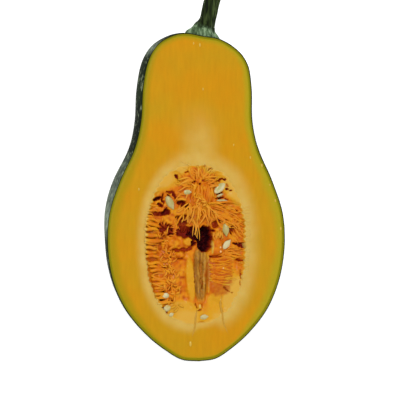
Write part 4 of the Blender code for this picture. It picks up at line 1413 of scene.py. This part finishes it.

# %% [markdown]
# ## The rind's finish
# The skin is dark green, nearly black, with paler flecks and faint long bands, under a thin bloom
# of wax. A pale grey-green sheen and a highlight are painted into its colour on the left of the
# belly and on the shoulder. Its cut edge shows the green going over to yellow.

# %% Waxy rind
def rind_finish():
    material, tree, shader = new_material("waxy_pumpkin_rind")
    place = add(tree, "TexCoord").outputs["Object"]
    depth = add(tree, "Attribute", attribute_name="skin_depth").outputs["Fac"]

    # Bands and flecks that were stretched the long way as the fruit grew
    stretched = add(tree, "Mapping", {"Vector": place, "Scale": (1.0, 0.35, 1.0)})
    bands = add(tree, "TexNoise", {"Vector": stretched, "Scale": 1 / (14 * MM), "Detail": 3.0})
    skin_tone = add(tree, "ValToRGB", {"Fac": bands},
                    stops=((0.35, "#0A1006"), (0.55, "#162010"), (0.7, "#26341C")))
    flecks = add(tree, "TexNoise", {"Vector": stretched, "Scale": 1 / (1.7 * MM), "Detail": 3.0,
                                    "Roughness": 0.6})
    fleck = add(tree, "MapRange", {"Value": flecks, "From Min": 0.57, "From Max": 0.66})
    mottled = add(tree, "Mix", {FACTOR: fleck, MIX_A: skin_tone, MIX_B: "#727C60"}, data_type="RGBA")

    # Painted sheen: pale grey-green reflections and a highlight laid into the colour on the left of the
    # belly and on the shoulder, broken up in patches
    axes = add(tree, "SeparateXYZ", {"Vector": place})
    from_tip = add(tree, "MapRange", {"Value": axes.outputs["Y"], "From Min": -100 * MM,
                                      "From Max": 120 * MM})
    painted_sheen = add(tree, "ValToRGB", {"Fac": from_tip},
                stops=((0.28, "#202020"), (0.36, "#404040"), (0.42, "#F0F0F0"), (0.46, "#B8B8B8"),
                       (0.57, "#909090"), (0.61, "#000000"), (0.88, "#000000"), (0.91, "#D8D8D8"),
                       (0.94, "#101010")))
    sheen_side = add(tree, "MapRange", {"Value": axes.outputs["X"], "From Min": -5 * MM,
                                     "From Max": -30 * MM})
    patchy_sheen = add(tree, "MapRange", {"Value": flecks, "From Min": 0.35, "From Max": 0.6, "To Min": 0.35})
    sheen_by_place = add(tree, "Math", {0: painted_sheen, 1: sheen_side}, operation="MULTIPLY")
    sheen_share = add(tree, "Math", {0: sheen_by_place, 1: patchy_sheen}, operation="MULTIPLY")
    with_sheen = add(tree, "Mix", {FACTOR: sheen_share, MIX_A: mottled, MIX_B: "#92A08C"}, data_type="RGBA")

    # The cut edge, from dark skin to yellow-green over its millimetre and a half
    edge = add(tree, "ValToRGB", {"Fac": depth},
               stops=((0.3, "#1C2410"), (0.6, "#4A4A0E"), (0.9, "#847C0C")))
    in_edge = add(tree, "MapRange", {"Value": depth, "From Min": 0.12, "From Max": 0.3})
    whole = add(tree, "Mix", {FACTOR: in_edge, MIX_A: with_sheen, MIX_B: edge}, data_type="RGBA")

    bump = add(tree, "Bump", {"Height": flecks, "Strength": 0.3, "Distance": 0.6 * MM})
    fill(tree, shader, {"Base Color": whole, "Normal": bump, "Roughness": 0.6, "IOR": 1.45,
                        "Specular IOR Level": 0.03})
    return material


give(rind_finish(), "rind", rind)
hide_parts("rind")

# %% [markdown]
# ## The stem's finish
# Woody and fibrous, dark olive on the stalk and a dusty grey-green on the flare, where the
# fibres spread over the shoulder. It is dull, with streaks a millimetre and a half apart.

# %% Fibrous stem
def stem_finish():
    material, tree, shader = new_material("fibrous_green_stem")
    place = add(tree, "TexCoord").outputs["Object"]
    stretched = add(tree, "Mapping", {"Vector": place, "Scale": (1.0, 0.12, 1.0)})
    streaks = add(tree, "TexNoise", {"Vector": stretched, "Scale": 1 / (1.6 * MM), "Detail": 3.0})
    stalk = add(tree, "ValToRGB", {"Fac": streaks},
                stops=((0.36, "#0A1002"), (0.52, "#232F0E"), (0.68, "#44522A")))
    flare = add(tree, "ValToRGB", {"Fac": streaks},
                stops=((0.36, "#2E3E24"), (0.52, "#5A7250"), (0.68, "#92AA84")))
    axes = add(tree, "SeparateXYZ", {"Vector": place})
    slanted = add(tree, "Math", {0: axes.outputs["X"], 1: 0.35, 2: axes.outputs["Y"]},
                  operation="MULTIPLY_ADD")
    spread = add(tree, "MapRange", {"Value": slanted, "From Min": 114.8 * MM, "From Max": 118.8 * MM,
                                    "To Min": 1.0, "To Max": 0.0}, interpolation_type="SMOOTHSTEP")
    both = add(tree, "Mix", {FACTOR: spread, MIX_A: stalk, MIX_B: flare}, data_type="RGBA")
    bump = add(tree, "Bump", {"Height": streaks, "Strength": 0.5, "Distance": 0.5 * MM})
    fill(tree, shader, {"Base Color": both, "Normal": bump, "Roughness": 0.65, "IOR": 1.45,
                        "Specular IOR Level": 0.1})
    return material


give(stem_finish(), "stem", stem)
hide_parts("stem")

# %% [markdown]
# ## The sap's finish
# Sap stands in clear, pale beads. Real drops are see-through, but at this size they show only
# their highlight and a milky yellow, so a bright, glossy surface is enough.

# %% Sap and juice
def sap_finish(name, colour):
    material, tree, shader = new_material(name)
    cloudy = add(tree, "TexNoise", {"Vector": add(tree, "TexCoord").outputs["Object"],
                                    "Scale": 1 / (1.5 * MM)})
    tone = add(tree, "MapRange", {"Value": cloudy, "To Min": 0.85, "To Max": 1.1})
    mixed = add(tree, "Mix", {FACTOR: 1.0, MIX_A: colour, MIX_B: tone},
                data_type="RGBA", blend_type="MULTIPLY")
    fill(tree, shader, {"Base Color": mixed, "Roughness": 0.35, "IOR": 1.35, "Coat Weight": 0.1,
                        "Coat Roughness": 0.06})
    return material


give(sap_finish("drying_sap", "#D0A83A"), "flesh", *beads)
give(sap_finish("running_juice", "#BE8C22"), "flesh", *threads)
# The drops' bright colour is a painted highlight on the pulp
give(sap_finish("juice_drop_painted_highlight", "#F0B878"), "pulp", *drops)

# %% [markdown]
# ## The stage
# The half lies on a plain sheet of white paper, faintly lit from within, which keeps its shadow
# light. The window gives a wide soft light, and the fill opens up what it leaves dark. The camera
# looks down on the cut face, tipped 14 degrees towards the left, which is how far round the rind
# shows there. The lens and the distance give the photograph's framing.

# %% Floor, light and camera
for helper in (skin, strand, seed):
    bpy.data.objects.remove(helper)

FLOOR_SIZE = 4.0
FLOOR_DROP = 0.2 * MM

choose(None)
bpy.ops.mesh.primitive_plane_add(size=FLOOR_SIZE, location=(0, 0, -FLOOR_DROP))
floor = named_new("floor")
paper, paper_tree, paper_shader = new_material("white_paper")
fill(paper_tree, paper_shader, {"Base Color": "#F6F6F4", "Roughness": 0.9,
                                "Emission Color": "#FFFFFF", "Emission Strength": 0.5})
floor.data.materials.append(paper)
floor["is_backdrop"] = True

world = bpy.data.worlds.new("soft_daylight")
world.use_nodes = True
fill(world.node_tree, world.node_tree.nodes["Background"], {"Color": "#FBFCFF", "Strength": 0.62})
bpy.context.scene.world = world
bpy.context.scene.view_settings.view_transform = "Standard"

# Each light: name, place, width and power
LIGHTS = (
    ("window", (-0.35, 0.35, 1.15), 0.4, 6.8),
    ("fill", (0.7, -0.3, 0.9), 0.8, 2.0),
)
for name, place, width, power in LIGHTS:
    bpy.ops.object.light_add(type="AREA", location=place)
    light = bpy.context.object
    light.name = name
    light.data.size = width
    light.data.energy = power
    light.rotation_euler = (-Vector(place)).to_track_quat("-Z", "Y").to_euler()

PIXELS = 400
SENSOR = 36.0
PIXEL_SIZE = 0.6332 * MM
TIP_TOWARDS_LEFT = math.radians(14)
CAMERA_DISTANCE = 0.80
# The photograph's middle lies this many pixels to the right of the part's origin, and above it
MIDDLE_RIGHT, MIDDLE_ABOVE = 3.7, 6.0
MIDDLE_X = MIDDLE_RIGHT * PIXEL_SIZE / math.cos(TIP_TOWARDS_LEFT)
MIDDLE_Y = MIDDLE_ABOVE * PIXEL_SIZE

back = Vector((-math.sin(TIP_TOWARDS_LEFT), 0, math.cos(TIP_TOWARDS_LEFT)))
right = Vector((0, 1, 0)).cross(back).normalized()
bpy.ops.object.camera_add(location=Vector((MIDDLE_X, MIDDLE_Y, CUT)) + back * CAMERA_DISTANCE)
camera = bpy.context.object
turn = Matrix((right, back.cross(right), back)).transposed()
camera.rotation_euler = turn.to_euler()
camera.data.sensor_width = SENSOR
camera.data.lens = CAMERA_DISTANCE * SENSOR / (PIXELS * PIXEL_SIZE)
bpy.context.scene.camera = camera

# %% [markdown]
# ## The two boxes
# Both boxes, the CAD model's and the dressed model's, are printed side by side. The dressed
# model may not outgrow the CAD model.

# %% Sizes and finish
low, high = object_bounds()
sizes = {"cad_box": [list(cad_low), list(cad_high)], "visual_box": [list(low), list(high)]}
for name, (lowest, highest) in sizes.items():
    print(name, [round((b - a) / MM, 2) for a, b in zip(lowest, highest)])
